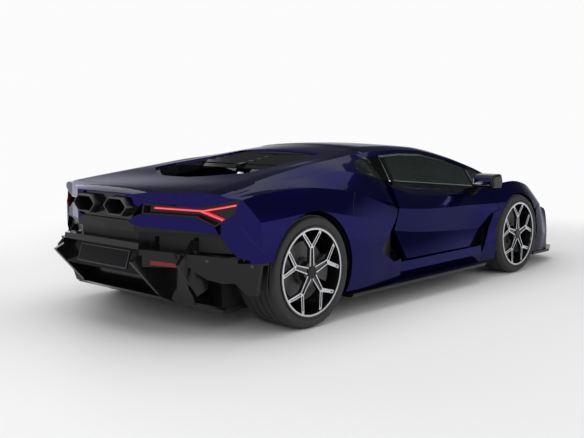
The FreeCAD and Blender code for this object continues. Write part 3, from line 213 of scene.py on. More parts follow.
def road_film_group():
    """Mask of soft road film, thicker towards the floor."""
    group, entry, leave = node_group(
        "road_film",
        [("Top", "NodeSocketFloat", 0.5), ("Scale", "NodeSocketFloat", 9.0)],
        [("Mask", "NodeSocketFloat")])
    nodes, links = group.nodes, group.links
    place = nodes.new("ShaderNodeTexCoord")
    split = nodes.new("ShaderNodeSeparateXYZ")
    noise = nodes.new("ShaderNodeTexNoise")
    noise.inputs["Detail"].default_value = 5.0
    links.new(place.outputs["Object"], split.inputs["Vector"])
    links.new(place.outputs["Object"], noise.inputs["Vector"])
    links.new(entry.outputs["Scale"], noise.inputs["Scale"])
    height = maths(nodes, links, "DIVIDE", split.outputs["Z"], entry.outputs["Top"])
    low = maths(nodes, links, "SUBTRACT", 1.0, height)
    low = maths(nodes, links, "MAXIMUM", low, 0.0)
    mask = maths(nodes, links, "MULTIPLY", low, noise.outputs["Fac"])
    links.new(mask, leave.inputs["Mask"])
    return group


def edge_band_group():
    """Mask of a straight band along one edge of a pane, in the car's side view."""
    group, entry, leave = node_group(
        "edge_band",
        [("Across Y", "NodeSocketFloat", 1.0), ("Across Z", "NodeSocketFloat", 0.0),
         ("Start", "NodeSocketFloat", 0.0)],
        [("Mask", "NodeSocketFloat")])
    nodes, links = group.nodes, group.links
    place = nodes.new("ShaderNodeTexCoord")
    split = nodes.new("ShaderNodeSeparateXYZ")
    links.new(place.outputs["Object"], split.inputs["Vector"])
    along_y = maths(nodes, links, "MULTIPLY", split.outputs["Y"], entry.outputs["Across Y"])
    along_z = maths(nodes, links, "MULTIPLY", split.outputs["Z"], entry.outputs["Across Z"])
    reach = maths(nodes, links, "ADD", along_y, along_z)
    mask = maths(nodes, links, "GREATER_THAN", reach, entry.outputs["Start"])
    links.new(mask, leave.inputs["Mask"])
    return group


SPECKLE = speckle_group()
ROAD_FILM = road_film_group()
EDGE_BAND = edge_band_group()


class Finish:
    """A Principled material fed by the speckle group, open to further layers."""

    def __init__(self, name, color_a, color_b, grain, rough, metallic=0.0, bump=0.0, **plain):
        self.material = bpy.data.materials.new(name)
        self.material.use_nodes = True
        self.nodes = self.material.node_tree.nodes
        self.links = self.material.node_tree.links
        self.shader = self.nodes["Principled BSDF"]
        speckle = self.nodes.new("ShaderNodeGroup")
        speckle.node_tree = SPECKLE
        speckle.inputs["Color A"].default_value = (*color_a, 1)
        speckle.inputs["Color B"].default_value = (*color_b, 1)
        speckle.inputs["Scale"].default_value = grain
        speckle.inputs["Rough Low"].default_value = rough[0]
        speckle.inputs["Rough High"].default_value = rough[1]
        self.colour = speckle.outputs["Color"]
        self.rough = speckle.outputs["Roughness"]
        self.height = speckle.outputs["Height"]
        self.shader.inputs["Metallic"].default_value = metallic
        for socket, value in plain.items():
            self.shader.inputs[socket.replace("_", " ")].default_value = value
        if bump:
            relief = self.nodes.new("ShaderNodeBump")
            relief.inputs["Strength"].default_value = bump
            relief.inputs["Distance"].default_value = 0.001
            self.links.new(self.height, relief.inputs["Height"])
            self.links.new(relief.outputs["Normal"], self.shader.inputs["Normal"])

    def group(self, tree, **values):
        """Shared node group with its values set."""
        node = self.nodes.new("ShaderNodeGroup")
        node.node_tree = tree
        for socket, value in values.items():
            node.inputs[socket.replace("_", " ")].default_value = value
        return node

    def place(self):
        """Coordinates of the finished piece, which are the car's."""
        return self.nodes.new("ShaderNodeTexCoord").outputs["Object"]

    def texture(self, kind, scale):
        """Procedural texture on the piece's own coordinates."""
        node = self.nodes.new(kind)
        node.inputs["Scale"].default_value = scale
        self.links.new(self.place(), node.inputs["Vector"])
        return node

    def layer(self, mask, colour, rough=None):
        """Covers the finish with a colour, and a roughness, where the mask is high."""
        self.colour = blend_colour(self.nodes, self.links, mask, self.colour, colour)
        if rough is not None:
            gap = maths(self.nodes, self.links, "SUBTRACT", rough, self.rough)
            step = maths(self.nodes, self.links, "MULTIPLY", gap, mask)
            self.rough = maths(self.nodes, self.links, "ADD", self.rough, step)

    def film(self, top, amount, colour):
        """Thin road film below a height."""
        film = self.group(ROAD_FILM, Top=top)
        mask = maths(self.nodes, self.links, "MULTIPLY", film.outputs["Mask"], amount)
        self.layer(mask, colour, 0.6)

    def done(self):
        """Joins colour and roughness to the shader and gives the material."""
        self.links.new(self.colour, self.shader.inputs["Base Color"])
        self.links.new(self.rough, self.shader.inputs["Roughness"])
        return self.material


# materials: finishes of this car

def pearl_paint(name):
    """Dark violet-blue paint with fine flakes under a clear coat, open to further layers."""
    paint = Finish(name, (0.0038, 0.0030, 0.042), (0.0115, 0.0072, 0.112), 1400.0,
                   (0.16, 0.26), metallic=0.90, Coat_Weight=0.35, Coat_Roughness=0.02,
                   Coat_IOR=1.33, Specular_IOR_Level=0.2, Specular_Tint=(0.08, 0.07, 0.28, 1))
    paint.film(0.34, 0.10, (0.05, 0.05, 0.06))
    return paint


def blacked_pillar():
    """Body paint with the pillar between the side windows in gloss black."""
    paint = pearl_paint("pillar_paint")
    nodes, links = paint.nodes, paint.links
    mask = None
    for across_y, across_z, start in PILLAR_EDGES:
        band = paint.group(EDGE_BAND, Across_Y=across_y, Across_Z=across_z, Start=start)
        edge = band.outputs["Mask"]
        mask = edge if mask is None else maths(nodes, links, "MULTIPLY", mask, edge)
    paint.layer(mask, (0.003, 0.003, 0.0035), 0.12)
    return paint.done()


def black_gloss():
    """Piano-black trim with a trace of road film."""
    gloss = Finish("black_gloss", (0.003, 0.003, 0.0035), (0.007, 0.007, 0.008), 240.0,
                   (0.09, 0.16), Specular_IOR_Level=0.28)
    gloss.film(0.40, 0.05, (0.045, 0.043, 0.040))
    return gloss.done()


def black_satin():
    """Fine-grained black plastic."""
    satin = Finish("black_satin", (0.005, 0.005, 0.0055), (0.010, 0.010, 0.011), 700.0,
                   (0.38, 0.54), bump=0.15, Specular_IOR_Level=0.25)
    satin.film(0.45, 0.08, (0.05, 0.047, 0.043))
    return satin.done()


def glass_finish(name, color_a, color_b):
    """Clear pane that is barely uneven, open to further layers."""
    return Finish(name, color_a, color_b, 6.0, (0.0, 0.02), Transmission_Weight=1.0, IOR=1.30)


def tinted_glass(name, bands):
    """Green-grey glass with a black printed border along the edges that are given."""
    glass = glass_finish(name, (0.095, 0.120, 0.110), (0.120, 0.148, 0.136))
    for across_y, across_z, start in bands:
        band = glass.group(EDGE_BAND, Across_Y=across_y, Across_Z=across_z, Start=start)
        glass.layer(band.outputs["Mask"], (0.002, 0.002, 0.002))
    return glass.done()


def clear_lens():
    """Headlamp cover, lightly smoked."""
    return glass_finish("clear_lens", (0.30, 0.31, 0.33), (0.38, 0.39, 0.41)).done()


def lamp_red():
    """Red light strips that glow, a little uneven along their diodes, over plain reflectors."""
    glow = Finish("lamp_red", (0.45, 0.0, 0.004), (0.75, 0.004, 0.012), 60.0, (0.15, 0.25),
                  Coat_Weight=0.25, Specular_IOR_Level=0.3, Emission_Strength=1.0)
    nodes, links = glow.nodes, glow.links
    wave = glow.texture("ShaderNodeTexWave", 24.0)
    light = blend_colour(nodes, links, wave.outputs["Fac"], (0.85, 0.004, 0.02),
                         (1.0, 0.02, 0.05))
    low = glow.group(EDGE_BAND, Across_Y=0.0, Across_Z=-1.0, Start=-REFLECTOR_TOP)
    prisms = glow.texture("ShaderNodeTexVoronoi", 320.0)
    facets = blend_colour(nodes, links, prisms.outputs["Distance"], (0.13, 0.001, 0.002),
                          (0.24, 0.006, 0.010))
    glow.layer(low.outputs["Mask"], facets)
    light = blend_colour(nodes, links, low.outputs["Mask"], light, (0.0, 0.0, 0.0))
    links.new(light, glow.shader.inputs["Emission Color"])
    return glow.done()


def lamp_core():
    """Hot middle line of a red light strip."""
    core = Finish("lamp_core", (0.9, 0.10, 0.12), (1.0, 0.20, 0.22), 80.0, (0.2, 0.3),
                  Emission_Strength=1.0)
    core.links.new(core.colour, core.shader.inputs["Emission Color"])
    return core.done()


def lamp_white():
    """Day-running light guide, switched off."""
    return Finish("lamp_white", (0.62, 0.64, 0.66), (0.78, 0.80, 0.82), 160.0, (0.18, 0.30),
                  Coat_Weight=1.0, Subsurface_Weight=0.1).done()


def exhaust_metal():
    """Dark sintered metal, turning paler grey towards the open end."""
    metal = Finish("exhaust_metal", (0.018, 0.018, 0.020), (0.050, 0.050, 0.053), 260.0,
                   (0.30, 0.46), metallic=0.85, bump=0.1)
    split = metal.nodes.new("ShaderNodeSeparateXYZ")
    metal.links.new(metal.place(), split.inputs["Vector"])
    paler_tip = metal.nodes.new("ShaderNodeMapRange")
    paler_tip.inputs["From Min"].default_value = PALE_TIP_START
    paler_tip.inputs["From Max"].default_value = PALE_TIP_END
    metal.links.new(split.outputs["Y"], paler_tip.inputs["Value"])
    # paler grey colour laid over the open end of the pipes
    metal.layer(paler_tip.outputs["Result"], (0.085, 0.080, 0.076))
    return metal.done()


def tyre_rubber():
    """Matt rubber with paler worn and dusty patches."""
    rubber = Finish("tyre_rubber", (0.009, 0.009, 0.010), (0.019, 0.019, 0.020), 180.0,
                    (0.60, 0.78), bump=0.3)
    noise = rubber.texture("ShaderNodeTexNoise", 26.0)
    worn = maths(rubber.nodes, rubber.links, "MULTIPLY", noise.outputs["Fac"], 0.35)
    rubber.layer(worn, (0.045, 0.046, 0.042), 0.85)
    return rubber.done()


def spoked_alloy(name, wheel):
    """Gloss black wheel whose outermost flat faces are machined bright."""
    alloy = Finish(name, (0.004, 0.004, 0.005), (0.009, 0.009, 0.010), 300.0, (0.12, 0.20),
                   Coat_Weight=0.4)
    nodes, links = alloy.nodes, alloy.links
    place = alloy.place()
    split = nodes.new("ShaderNodeSeparateXYZ")
    links.new(place, split.inputs["Vector"])
    outward = maths(nodes, links, "ABSOLUTE", split.outputs["X"])
    centred = nodes.new("ShaderNodeVectorMath")
    centred.operation = "SUBTRACT"
    centred.inputs[1].default_value = (0.0, wheel["y"], wheel["z"])
    links.new(place, centred.inputs[0])
    flattened = nodes.new("ShaderNodeVectorMath")
    flattened.operation = "MULTIPLY"
    flattened.inputs[1].default_value = (0.0, 1.0, 1.0)
    links.new(centred.outputs["Vector"], flattened.inputs[0])
    radial = nodes.new("ShaderNodeVectorMath")
    radial.operation = "LENGTH"
    links.new(flattened.outputs["Vector"], radial.inputs[0])
    radius = radial.outputs["Value"]
    past_fork = maths(nodes, links, "GREATER_THAN", radius, FORK_AT * wheel["bead"])
    drop = maths(nodes, links, "MULTIPLY", past_fork, SPOKE_POCKET)
    level = maths(nodes, links, "SUBTRACT", wheel["face"] - SPOKE_SET_BACK - 0.0012, drop)
    reach = maths(nodes, links, "GREATER_THAN", outward, level)
    inside = maths(nodes, links, "LESS_THAN", radius, wheel["bead"] + 0.005)
    reach = maths(nodes, links, "MULTIPLY", reach, inside)
    shape = nodes.new("ShaderNodeNewGeometry")
    facing = nodes.new("ShaderNodeSeparateXYZ")
    links.new(shape.outputs["True Normal"], facing.inputs["Vector"])
    flat = maths(nodes, links, "ABSOLUTE", facing.outputs["X"])
    flat = maths(nodes, links, "GREATER_THAN", flat, 0.8)
    cut = maths(nodes, links, "MULTIPLY", reach, flat)
    grain = alloy.texture("ShaderNodeTexNoise", 420.0)
    bright = blend_colour(nodes, links, grain.outputs["Fac"], (0.50, 0.51, 0.53),
                          (0.70, 0.71, 0.73))
    alloy.layer(cut, bright, 0.26)
    links.new(cut, alloy.shader.inputs["Metallic"])
    return alloy.done()


def brake_disc():
    """Ceramic disc: dark, fibrous and finely ground."""
    disc = Finish("brake_disc", (0.035, 0.035, 0.036), (0.085, 0.085, 0.088), 320.0,
                  (0.30, 0.50), metallic=0.3, bump=0.2)
    return disc.done()


def cast_alloy():
    """Rough cast metal of arms, knuckles and engine."""
    return Finish("cast_alloy", (0.045, 0.045, 0.048), (0.10, 0.10, 0.105), 220.0, (0.45, 0.65),
                  metallic=0.6, bump=0.4).done()


def composite():
    """Woven composite under clear resin."""
    weave = Finish("composite", (0.006, 0.006, 0.007), (0.016, 0.016, 0.018), 500.0,
                   (0.26, 0.42), bump=0.1)
    checks = weave.texture("ShaderNodeTexChecker", 160.0)
    weave.layer(checks.outputs["Fac"], (0.028, 0.028, 0.031), 0.34)
    return weave.done()


def grained_leather():
    """Black leather with a fine grain."""
    return Finish("grained_leather", (0.010, 0.010, 0.011), (0.024, 0.023, 0.024), 900.0,
                  (0.45, 0.62), bump=0.8).done()


def mirror_glass():
    """Silvered glass of the door mirrors."""
    return Finish("mirror_glass", (0.55, 0.57, 0.60), (0.62, 0.64, 0.67), 12.0, (0.01, 0.03),
                  metallic=1.0).done()


def seal_rubber():
    """Dark filling of the joints between panels."""
    return Finish("seal_rubber", (0.006, 0.006, 0.006), (0.014, 0.014, 0.014), 400.0,
                  (0.55, 0.70), bump=0.2).done()


def sensor_black():
    """Painted face of a parking sensor."""
    return Finish("sensor_black", (0.020, 0.020, 0.022), (0.040, 0.040, 0.043), 500.0,
                  (0.30, 0.42)).done()


def holder_black():
    """Grained plastic of the plate's holder."""
    return Finish("holder_black", (0.030, 0.030, 0.032), (0.055, 0.055, 0.058), 600.0,
                  (0.36, 0.50), bump=0.1).done()


PAINT = pearl_paint("pearl_paint").done()
PILLAR_PAINT = blacked_pillar()
GLOSS = black_gloss()
SATIN = black_satin()
DOOR_GLASS = tinted_glass("door_window_glass", WINDOW_BANDS)
GLASS = tinted_glass("fixed_glass", [])
LENS = clear_lens()
RED = lamp_red()
CORE = lamp_core()
WHITE = lamp_white()
EXHAUST = exhaust_metal()
RUBBER = tyre_rubber()
FRONT_ALLOY = spoked_alloy("front_alloy", FRONT_WHEEL)
REAR_ALLOY = spoked_alloy("rear_alloy", REAR_WHEEL)
DISC = brake_disc()
CAST = cast_alloy()
COMPOSITE = composite()
LEATHER = grained_leather()
MIRROR = mirror_glass()
SEAL = seal_rubber()
SENSOR = sensor_black()
HOLDER = holder_black()

SLOT_FINISH = {
    "body_paint": PAINT, "black_gloss": GLOSS, "black_satin": SATIN, "side_glass": GLASS,
    "lamp_red": RED, "lamp_clear": LENS, "exhaust_metal": EXHAUST, "plate": GLOSS,
    "tyre": RUBBER, "rim": FRONT_ALLOY, "disc": DISC, "running_gear": CAST,
    "chassis": COMPOSITE, "engine": CAST, "leather": LEATHER,
}
NODE_FINISH = {
    "roof_frame": PILLAR_PAINT, "quarter_left": PILLAR_PAINT, "quarter_right": PILLAR_PAINT,
    "door_glass_left": DOOR_GLASS, "door_glass_right": DOOR_GLASS,
    "rim_rear_left": REAR_ALLOY, "rim_rear_right": REAR_ALLOY,
}


def dress_cad_nodes():
    """Gives every CAD node the finish of its material slot, or its own."""
    for row in frame["record"]["subparts"]:
        mesh = NODES[row["node"]].data
        mesh.materials.clear()
        mesh.materials.append(NODE_FINISH.get(row["node"], SLOT_FINISH[row["material_slot"]]))


# pieces on the wheels

def add_piece(name, bm, material, body, replaced=(), angle=35.0):
    """Turns a bmesh into a piece that rides on a body, with its finish."""
    mesh = bpy.data.meshes.new(name)
    bm.to_mesh(mesh)
    bm.free()
    mesh.shade_smooth()
    mesh.set_sharp_from_angle(angle=math.radians(angle))
    piece = bpy.data.objects.new(name, mesh)
    bpy.context.scene.collection.objects.link(piece)
    mesh.materials.append(material)
    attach(piece, body)
    if replaced:
        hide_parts(*replaced)


def spun(profile, centre, steps, mirrored=False):
    """Closed ring from an outline of (x, radius) points, spun about the car's X axis."""
    bm = bmesh.new()
    sign = -1.0 if mirrored else 1.0
    verts = [bm.verts.new((sign * x, centre[0], centre[1] + r)) for x, r in profile]
    edges = [bm.edges.new((a, b)) for a, b in zip(verts, verts[1:] + verts[:1])]
    bmesh.ops.spin(bm, geom=verts + edges, cent=(0.0, centre[0], centre[1]),
                   axis=(1.0, 0.0, 0.0), angle=FULL_TURN, steps=steps, use_merge=True)
    bmesh.ops.recalc_face_normals(bm, faces=bm.faces)
    return bm


def tyre_outline(wheel):
    """Outline of a tyre, from bead to bead over the tread, with sidewall ribs."""
    half = wheel["width"] / 2
    mid = wheel["face"] - half
    bead, radius = wheel["bead"], wheel["radius"]
    wall = radius - bead
    side = [(half - 0.024, bead), (half - 0.0225, bead + 0.004), (half - 0.020, bead + 0.011),
            (half - 0.0155, bead + 0.016), (half - 0.0150, bead + 0.020),
            (half - 0.0050, bead + 0.34 * wall), (half - 0.0015, bead + 0.47 * wall),
            (half - 0.0005, bead + 0.50 * wall), (half - 0.0022, bead + 0.55 * wall),
            (half - 0.0045, radius - 0.024), (half - 0.0085, radius - 0.0175),
            (half - 0.0160, radius - 0.0125), (half - 0.0300, radius - 0.0085)]
    crown = 2 * (half - CROWN_EDGE)
    rib = (crown - (TREAD_RIBS - 1) * TREAD_GROOVE) / TREAD_RIBS
    base = radius - TREAD_DEPTH
    tread = []
    for k in range(TREAD_RIBS):
        start = crown / 2 - k * (rib + TREAD_GROOVE)
        tread = tread + [(start, base), (start - rib, base)]
    whole = side + tread + [(-x, r) for x, r in reversed(side)]
    return [(mid + x, r) for x, r in whole]


def make_tyre(name, wheel, left):
    """Tyre with ribbed sidewalls, tread ribs and shoulder blocks."""
    bm = spun(tyre_outline(wheel), (wheel["y"], wheel["z"]), TREAD_STEPS, not left)
    half = wheel["width"] / 2
    mid = wheel["face"] - half
    crown = half - CROWN_EDGE
    rib = (2 * crown - (TREAD_RIBS - 1) * TREAD_GROOVE) / TREAD_RIBS
    shoulder, ribs = [], []
    for face in bm.faces:
        place = face.calc_center_median()
        radius = math.hypot(place.y - wheel["y"], place.z - wheel["z"])
        across = crown - (abs(place.x) - mid)
        if radius < wheel["radius"] - TREAD_DEPTH - 0.001 or across < 0 or across > 2 * crown:
            continue
        band, rest = divmod(across, rib + TREAD_GROOVE)
        if rest > rib or abs(face.normal.x) > 0.3:
            continue
        if band in (0, TREAD_RIBS - 1):
            shoulder.append(face)
        else:
            ribs.append(face)
    bmesh.ops.inset_individual(bm, faces=shoulder, thickness=SHOULDER_SIPE, depth=TREAD_DEPTH)
    bmesh.ops.inset_individual(bm, faces=ribs, thickness=RIB_SIPE, depth=TREAD_DEPTH)
    add_piece("tread_tyre_" + name, bm, RUBBER, "wheel_" + name, ("tyre_" + name,))


def make_wheel_cap(name, wheel, left):
    """Plain domed centre cap with a raised rim."""
    out = wheel["face"] - SPOKE_SET_BACK
    profile = [(out - 0.006, 0.0005), (out - 0.006, 0.038), (out + 0.0015, 0.038),
               (out + 0.0025, 0.036), (out + 0.0025, 0.031), (out + 0.0005, 0.029),
               (out + 0.0018, 0.018), (out + 0.0028, 0.0005)]
    bm = spun(profile, (wheel["y"], wheel["z"]), 48, not left)
    add_piece("wheel_cap_" + name, bm, GLOSS, "wheel_" + name, angle=25.0)


def make_wheel_bolts(name, wheel, left):
    """Five wheel bolts with six-sided heads round the cap."""
    sign = 1.0 if left else -1.0
    out = wheel["face"] - SPOKE_SET_BACK - 0.012
    bm = bmesh.new()
    for k in range(WHEEL_BOLTS):
        turn = FULL_TURN * (k + 0.5) / WHEEL_BOLTS + math.pi / 2
        place = Vector((sign * out, wheel["y"] + BOLT_CIRCLE_R * math.cos(turn),
                        wheel["z"] + BOLT_CIRCLE_R * math.sin(turn)))
        frame_to = Matrix.Translation(place) @ Matrix.Rotation(sign * math.pi / 2, 4, "Y")
        ring = bmesh.ops.create_circle(bm, cap_ends=True, segments=6, radius=BOLT_R,
                                       matrix=frame_to)
        faces = list({f for v in ring["verts"] for f in v.link_faces})
        raised = bmesh.ops.extrude_face_region(bm, geom=faces)
        top = [v for v in raised["geom"] if isinstance(v, bmesh.types.BMVert)]
        bmesh.ops.translate(bm, verts=top, vec=(sign * BOLT_HEIGHT, 0, 0))
        cap = [f for f in raised["geom"] if isinstance(f, bmesh.types.BMFace)]
        bmesh.ops.inset_region(bm, faces=cap, thickness=0.0022, depth=0.0012)
    bmesh.ops.recalc_face_normals(bm, faces=bm.faces)
    add_piece("wheel_bolts_" + name, bm, CAST, "wheel_" + name, angle=20.0)


def make_wheels():
    """Tyre, centre cap and bolts of all four wheels."""
    for end, wheel in (("front", FRONT_WHEEL), ("rear", REAR_WHEEL)):
        for side in ("left", "right"):
            name = end + "_" + side
            make_tyre(name, wheel, side == "left")
            make_wheel_cap(name, wheel, side == "left")
            make_wheel_bolts(name, wheel, side == "left")


# lines and small pieces laid on the body

def skin_of(*names):
    """Surface tree of CAD nodes, to lay thin pieces on."""
    bm = bmesh.new()
    for name in names:
        bm.from_mesh(NODES[name].data)
    tree = BVHTree.FromBMesh(bm)
    bm.free()
    return tree


def laid_on(tree, points, toward, lift):
    """Points moved along a direction until they meet a skin, then lifted off it a little."""
    way = Vector(toward).normalized()
    out = []
    for point in points:
        start = Vector(point) - way * RAY_BEFORE
        hit, normal, _, _ = tree.ray_cast(start, way, RAY_REACH)
        if hit is None:
            continue
        if normal.dot(way) > 0:
            normal = -normal
        out.append(hit + normal * lift)
    return out


def between(points, steps):
    """Route through points, with extra ones between them."""
    route = []
    for a, b in zip(points, points[1:]):
        for k in range(steps):
            route.append(Vector(a).lerp(Vector(b), k / steps))
    return route + [Vector(points[-1])]


def make_line(name, points, radius, material, body):
    """Thin round bead along a route on the skin, swept and turned to mesh."""
    curve = bpy.data.curves.new(name, "CURVE")
    curve.dimensions = "3D"
    curve.bevel_depth = radius
    curve.bevel_resolution = 1
    curve.use_fill_caps = True
    spline = curve.splines.new("POLY")
    spline.points.add(len(points) - 1)
    for target, point in zip(spline.points, points):
        target.co = (*point, 1.0)
    holder = bpy.data.objects.new(name + "_route", curve)
    mesh = bpy.data.meshes.new_from_object(holder)
    bpy.data.objects.remove(holder)
    bm = bmesh.new()
    bm.from_mesh(mesh)
    bpy.data.meshes.remove(mesh)
    bmesh.ops.recalc_face_normals(bm, faces=bm.faces)
    add_piece(name, bm, material, body, angle=60.0)


def both_sides(points):
    """Points of the left side, and the same mirrored for the right."""
    return [("left", points), ("right", [(-x, y, z) for x, y, z in points])]


def make_shut_lines():
    """Narrow dark joints between body panels that share one solid."""
    sides = {"left": skin_of("quarter_left"), "right": skin_of("quarter_right")}
    pillar = [(0.90, 0.975, 0.855), (0.97, 1.015, 0.80), (0.99, 1.04, 0.74), (1.0, 1.045, 0.70)]
    corner = [(0.905, 2.03, 0.70), (0.95, 1.985, 0.62), (0.985, 1.93, 0.545)]
    for label, base in (("pillar", pillar), ("corner", corner)):
        for side, points in both_sides(base):
            toward = (-1, 0, 0) if side == "left" else (1, 0, 0)
            route = laid_on(sides[side], between(points, 10), toward, -0.0004)
            make_line("%s_joint_%s" % (label, side), route, JOINT_R, SEAL, "root")


def make_lamp_cores():
    """Hot lines along the middle of the forked tail lights."""
    tree = skin_of("tail_lamps")
    fork = [(0.398, 2.3, 0.804), (0.663, 2.3, 0.792)]
    upper = [(0.663, 2.3, 0.792), (0.800, 2.3, 0.815), (0.878, 2.2, 0.8345)]
    lower = [(0.663, 2.3, 0.791), (0.700, 2.3, 0.779), (0.797, 2.2, 0.741)]
    for label, base in (("stem", fork), ("upper", upper), ("lower", lower)):
        for side, points in both_sides(base):
            route = laid_on(tree, between(points, 8), (0, -1, 0), 0.0)
            if len(route) > 1:
                make_line("lamp_%s_%s" % (label, side), route, CORE_R, CORE, "root")


def make_day_lights():
    """Forked light guides on the headlamp lenses."""
    tree = skin_of("headlamps")
    for side, sign in (("left", 1), ("right", -1)):
        stem = [(0.585, -2.3, 0.487), (0.66, -2.3, 0.520)]
        upper = [(0.66, -2.3, 0.520), (0.775, -2.2, 0.610)]
        lower = [(0.66, -2.3, 0.520), (0.755, -2.2, 0.535)]
        for label, base in (("stem", stem), ("upper", upper), ("lower", lower)):
            points = [(sign * x, y, z) for x, y, z in base]
            route = laid_on(tree, between(points, 6), (0, 1, 0), 0.001)
            if len(route) > 1:
                make_line("day_light_%s_%s" % (label, side), route, GUIDE_R, WHITE, "root")


def make_sensors():
    """Parking sensors: small discs with a ring groove, set in the tail and the nose."""
    tail = skin_of("quarter_left", "quarter_right", "diffuser", "rear_panel", "lamp_housing")
    front = skin_of("nose", "fender_left", "fender_right")
    spots = [("tail_outer", tail, (0.965, 2.6, 0.467), (0, -1, 0)),
             ("tail_inner", tail, (0.749, 2.6, 0.497), (0, -1, 0)),
             ("nose_outer", front, (0.80, -2.6, 0.40), (0, 1, 0)),
             ("nose_inner", front, (0.30, -2.6, 0.30), (0, 1, 0))]
    for label, tree, spot, toward in spots:
        for side, points in both_sides([spot]):
            hit, normal, _, _ = tree.ray_cast(Vector(points[0]), Vector(toward), 1.2)
            if hit is None:
                continue
            if normal.dot(Vector(toward)) > 0:
                normal = -normal
            turn = normal.to_track_quat("Z", "Y").to_matrix().to_4x4()
            place = Matrix.Translation(hit - normal * SENSOR_HEIGHT / 2) @ turn
            bm = bmesh.new()
            bmesh.ops.create_circle(bm, cap_ends=True, segments=24, radius=SENSOR_R,
                                    matrix=Matrix.Identity(4))
            top = bmesh.ops.extrude_face_region(bm, geom=list(bm.faces))
            lifted = [v for v in top["geom"] if isinstance(v, bmesh.types.BMVert)]
            bmesh.ops.translate(bm, verts=lifted, vec=(0, 0, SENSOR_HEIGHT))
            cap = [f for f in top["geom"] if isinstance(f, bmesh.types.BMFace)]
            bmesh.ops.inset_region(bm, faces=cap, thickness=0.0016, depth=-0.0008)
            bmesh.ops.inset_region(bm, faces=cap, thickness=0.0008, depth=0.0008)
            bmesh.ops.recalc_face_normals(bm, faces=bm.faces)
            bmesh.ops.transform(bm, matrix=place, verts=bm.verts)
            add_piece("sensor_%s_%s" % (label, side), bm, SENSOR, "root",
                      angle=25.0)


def make_louvre_lips():
    """Rolled lips along the slanting louvres ahead of the engine opening."""
    tree = skin_of("engine_frame")
    for k in range(LOUVRES):
        y = LOUVRE_START + LOUVRE_PITCH * k
        half = LOUVRE_HALF + LOUVRE_WIDENING * k
        for side, points in both_sides([(LOUVRE_SPINE, y, 1.2), (half, y, 1.2)]):
            route = laid_on(tree, between(points, 8), (0, 0, -1), 0.0015)
            if len(route) > 1:
                make_line("louvre_lip_%d_%s" % (k + 1, side), route, LIP_R, GLOSS, "root")


def make_plate_frame():
    """Slim raised holder round the blank number plate."""
    low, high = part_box("number_plate")
    width = high[0] - low[0]
    tall = math.hypot(high[1] - low[1], high[2] - low[2])
    centre = Vector([(a + b) / 2 for a, b in zip(low, high)])
    tree = skin_of("number_plate")
    hit, normal, _, _ = tree.ray_cast(centre + Vector((0, 0.3, 0)), Vector((0, -1, 0)), 0.6)
    if normal.y < 0:
        normal = -normal
    across = Vector((1, 0, 0))
    up = normal.cross(across)
    if up.z < 0:
        up = -up
    turn = Matrix((across, up, normal)).transposed().to_4x4()
    bm = bmesh.new()
    bmesh.ops.create_grid(bm, x_segments=1, y_segments=1, size=0.5)
    bmesh.ops.scale(bm, vec=(width + HOLDER_MARGIN, tall + HOLDER_MARGIN / 2, 1.0), verts=bm.verts)
    ring = bmesh.ops.inset_region(bm, faces=bm.faces[:], thickness=HOLDER_WIDTH,
                                  use_boundary=True)
    bmesh.ops.delete(bm, geom=[f for f in bm.faces if f not in ring["faces"]], context="FACES")
    wall = bmesh.ops.extrude_face_region(bm, geom=bm.faces[:])
    lifted = [v for v in wall["geom"] if isinstance(v, bmesh.types.BMVert)]
    bmesh.ops.translate(bm, verts=lifted, vec=(0, 0, HOLDER_HEIGHT))
    bmesh.ops.recalc_face_normals(bm, faces=bm.faces)
    bmesh.ops.bevel(bm, geom=bm.edges[:], offset=0.001, segments=2, affect="EDGES", profile=0.5,
                    material=-1)
    bmesh.ops.transform(bm, matrix=Matrix.Translation(hit - normal * 0.0015) @ turn,
                        verts=bm.verts)
    add_piece("plate_holder", bm, HOLDER, "root", angle=30.0)


def make_mirror_glasses():
    """Rounded mirror glass in the rear face of each door mirror."""
    size = MIRROR_GLASS
    for side, sign in (("left", 1.0), ("right", -1.0)):
        bm = bmesh.new()
        bmesh.ops.create_grid(bm, x_segments=1, y_segments=1, size=1.0)
        bmesh.ops.scale(bm, vec=(size["half_x"], size["half_z"], 1.0), verts=bm.verts)
        bmesh.ops.bevel(bm, geom=bm.verts[:], offset=size["corner"], segments=6,
                        affect="VERTICES", profile=0.5)
        raised = bmesh.ops.extrude_face_region(bm, geom=bm.faces[:])
        top = [v for v in raised["geom"] if isinstance(v, bmesh.types.BMVert)]
        bmesh.ops.translate(bm, verts=top, vec=(0, 0, size["depth"]))
        cap = [f for f in raised["geom"] if isinstance(f, bmesh.types.BMFace)]
        bmesh.ops.inset_region(bm, faces=cap, thickness=0.003, depth=-0.0012)
        bmesh.ops.recalc_face_normals(bm, faces=bm.faces)
        place = Vector((sign * size["centre"][0], size["centre"][1], size["centre"][2]))
        turn = Matrix.Rotation(-math.pi / 2, 4, "X")
        back = Matrix.Translation((0, 0, -size["depth"] + 0.002))
        bmesh.ops.transform(bm, matrix=Matrix.Translation(place) @ turn @ back, verts=bm.verts)
        add_piece("mirror_glass_" + side, bm, MIRROR, "door_" + side, angle=30.0)


# stage

def ray_mask(nodes, links, *kinds):
    """Mask of the rays of the kinds that are named."""
    path = nodes.new("ShaderNodeLightPath")
    mask = path.outputs[kinds[0]]
    for kind in kinds[1:]:
        mask = maths(nodes, links, "MAXIMUM", mask, path.outputs[kind])
    return mask


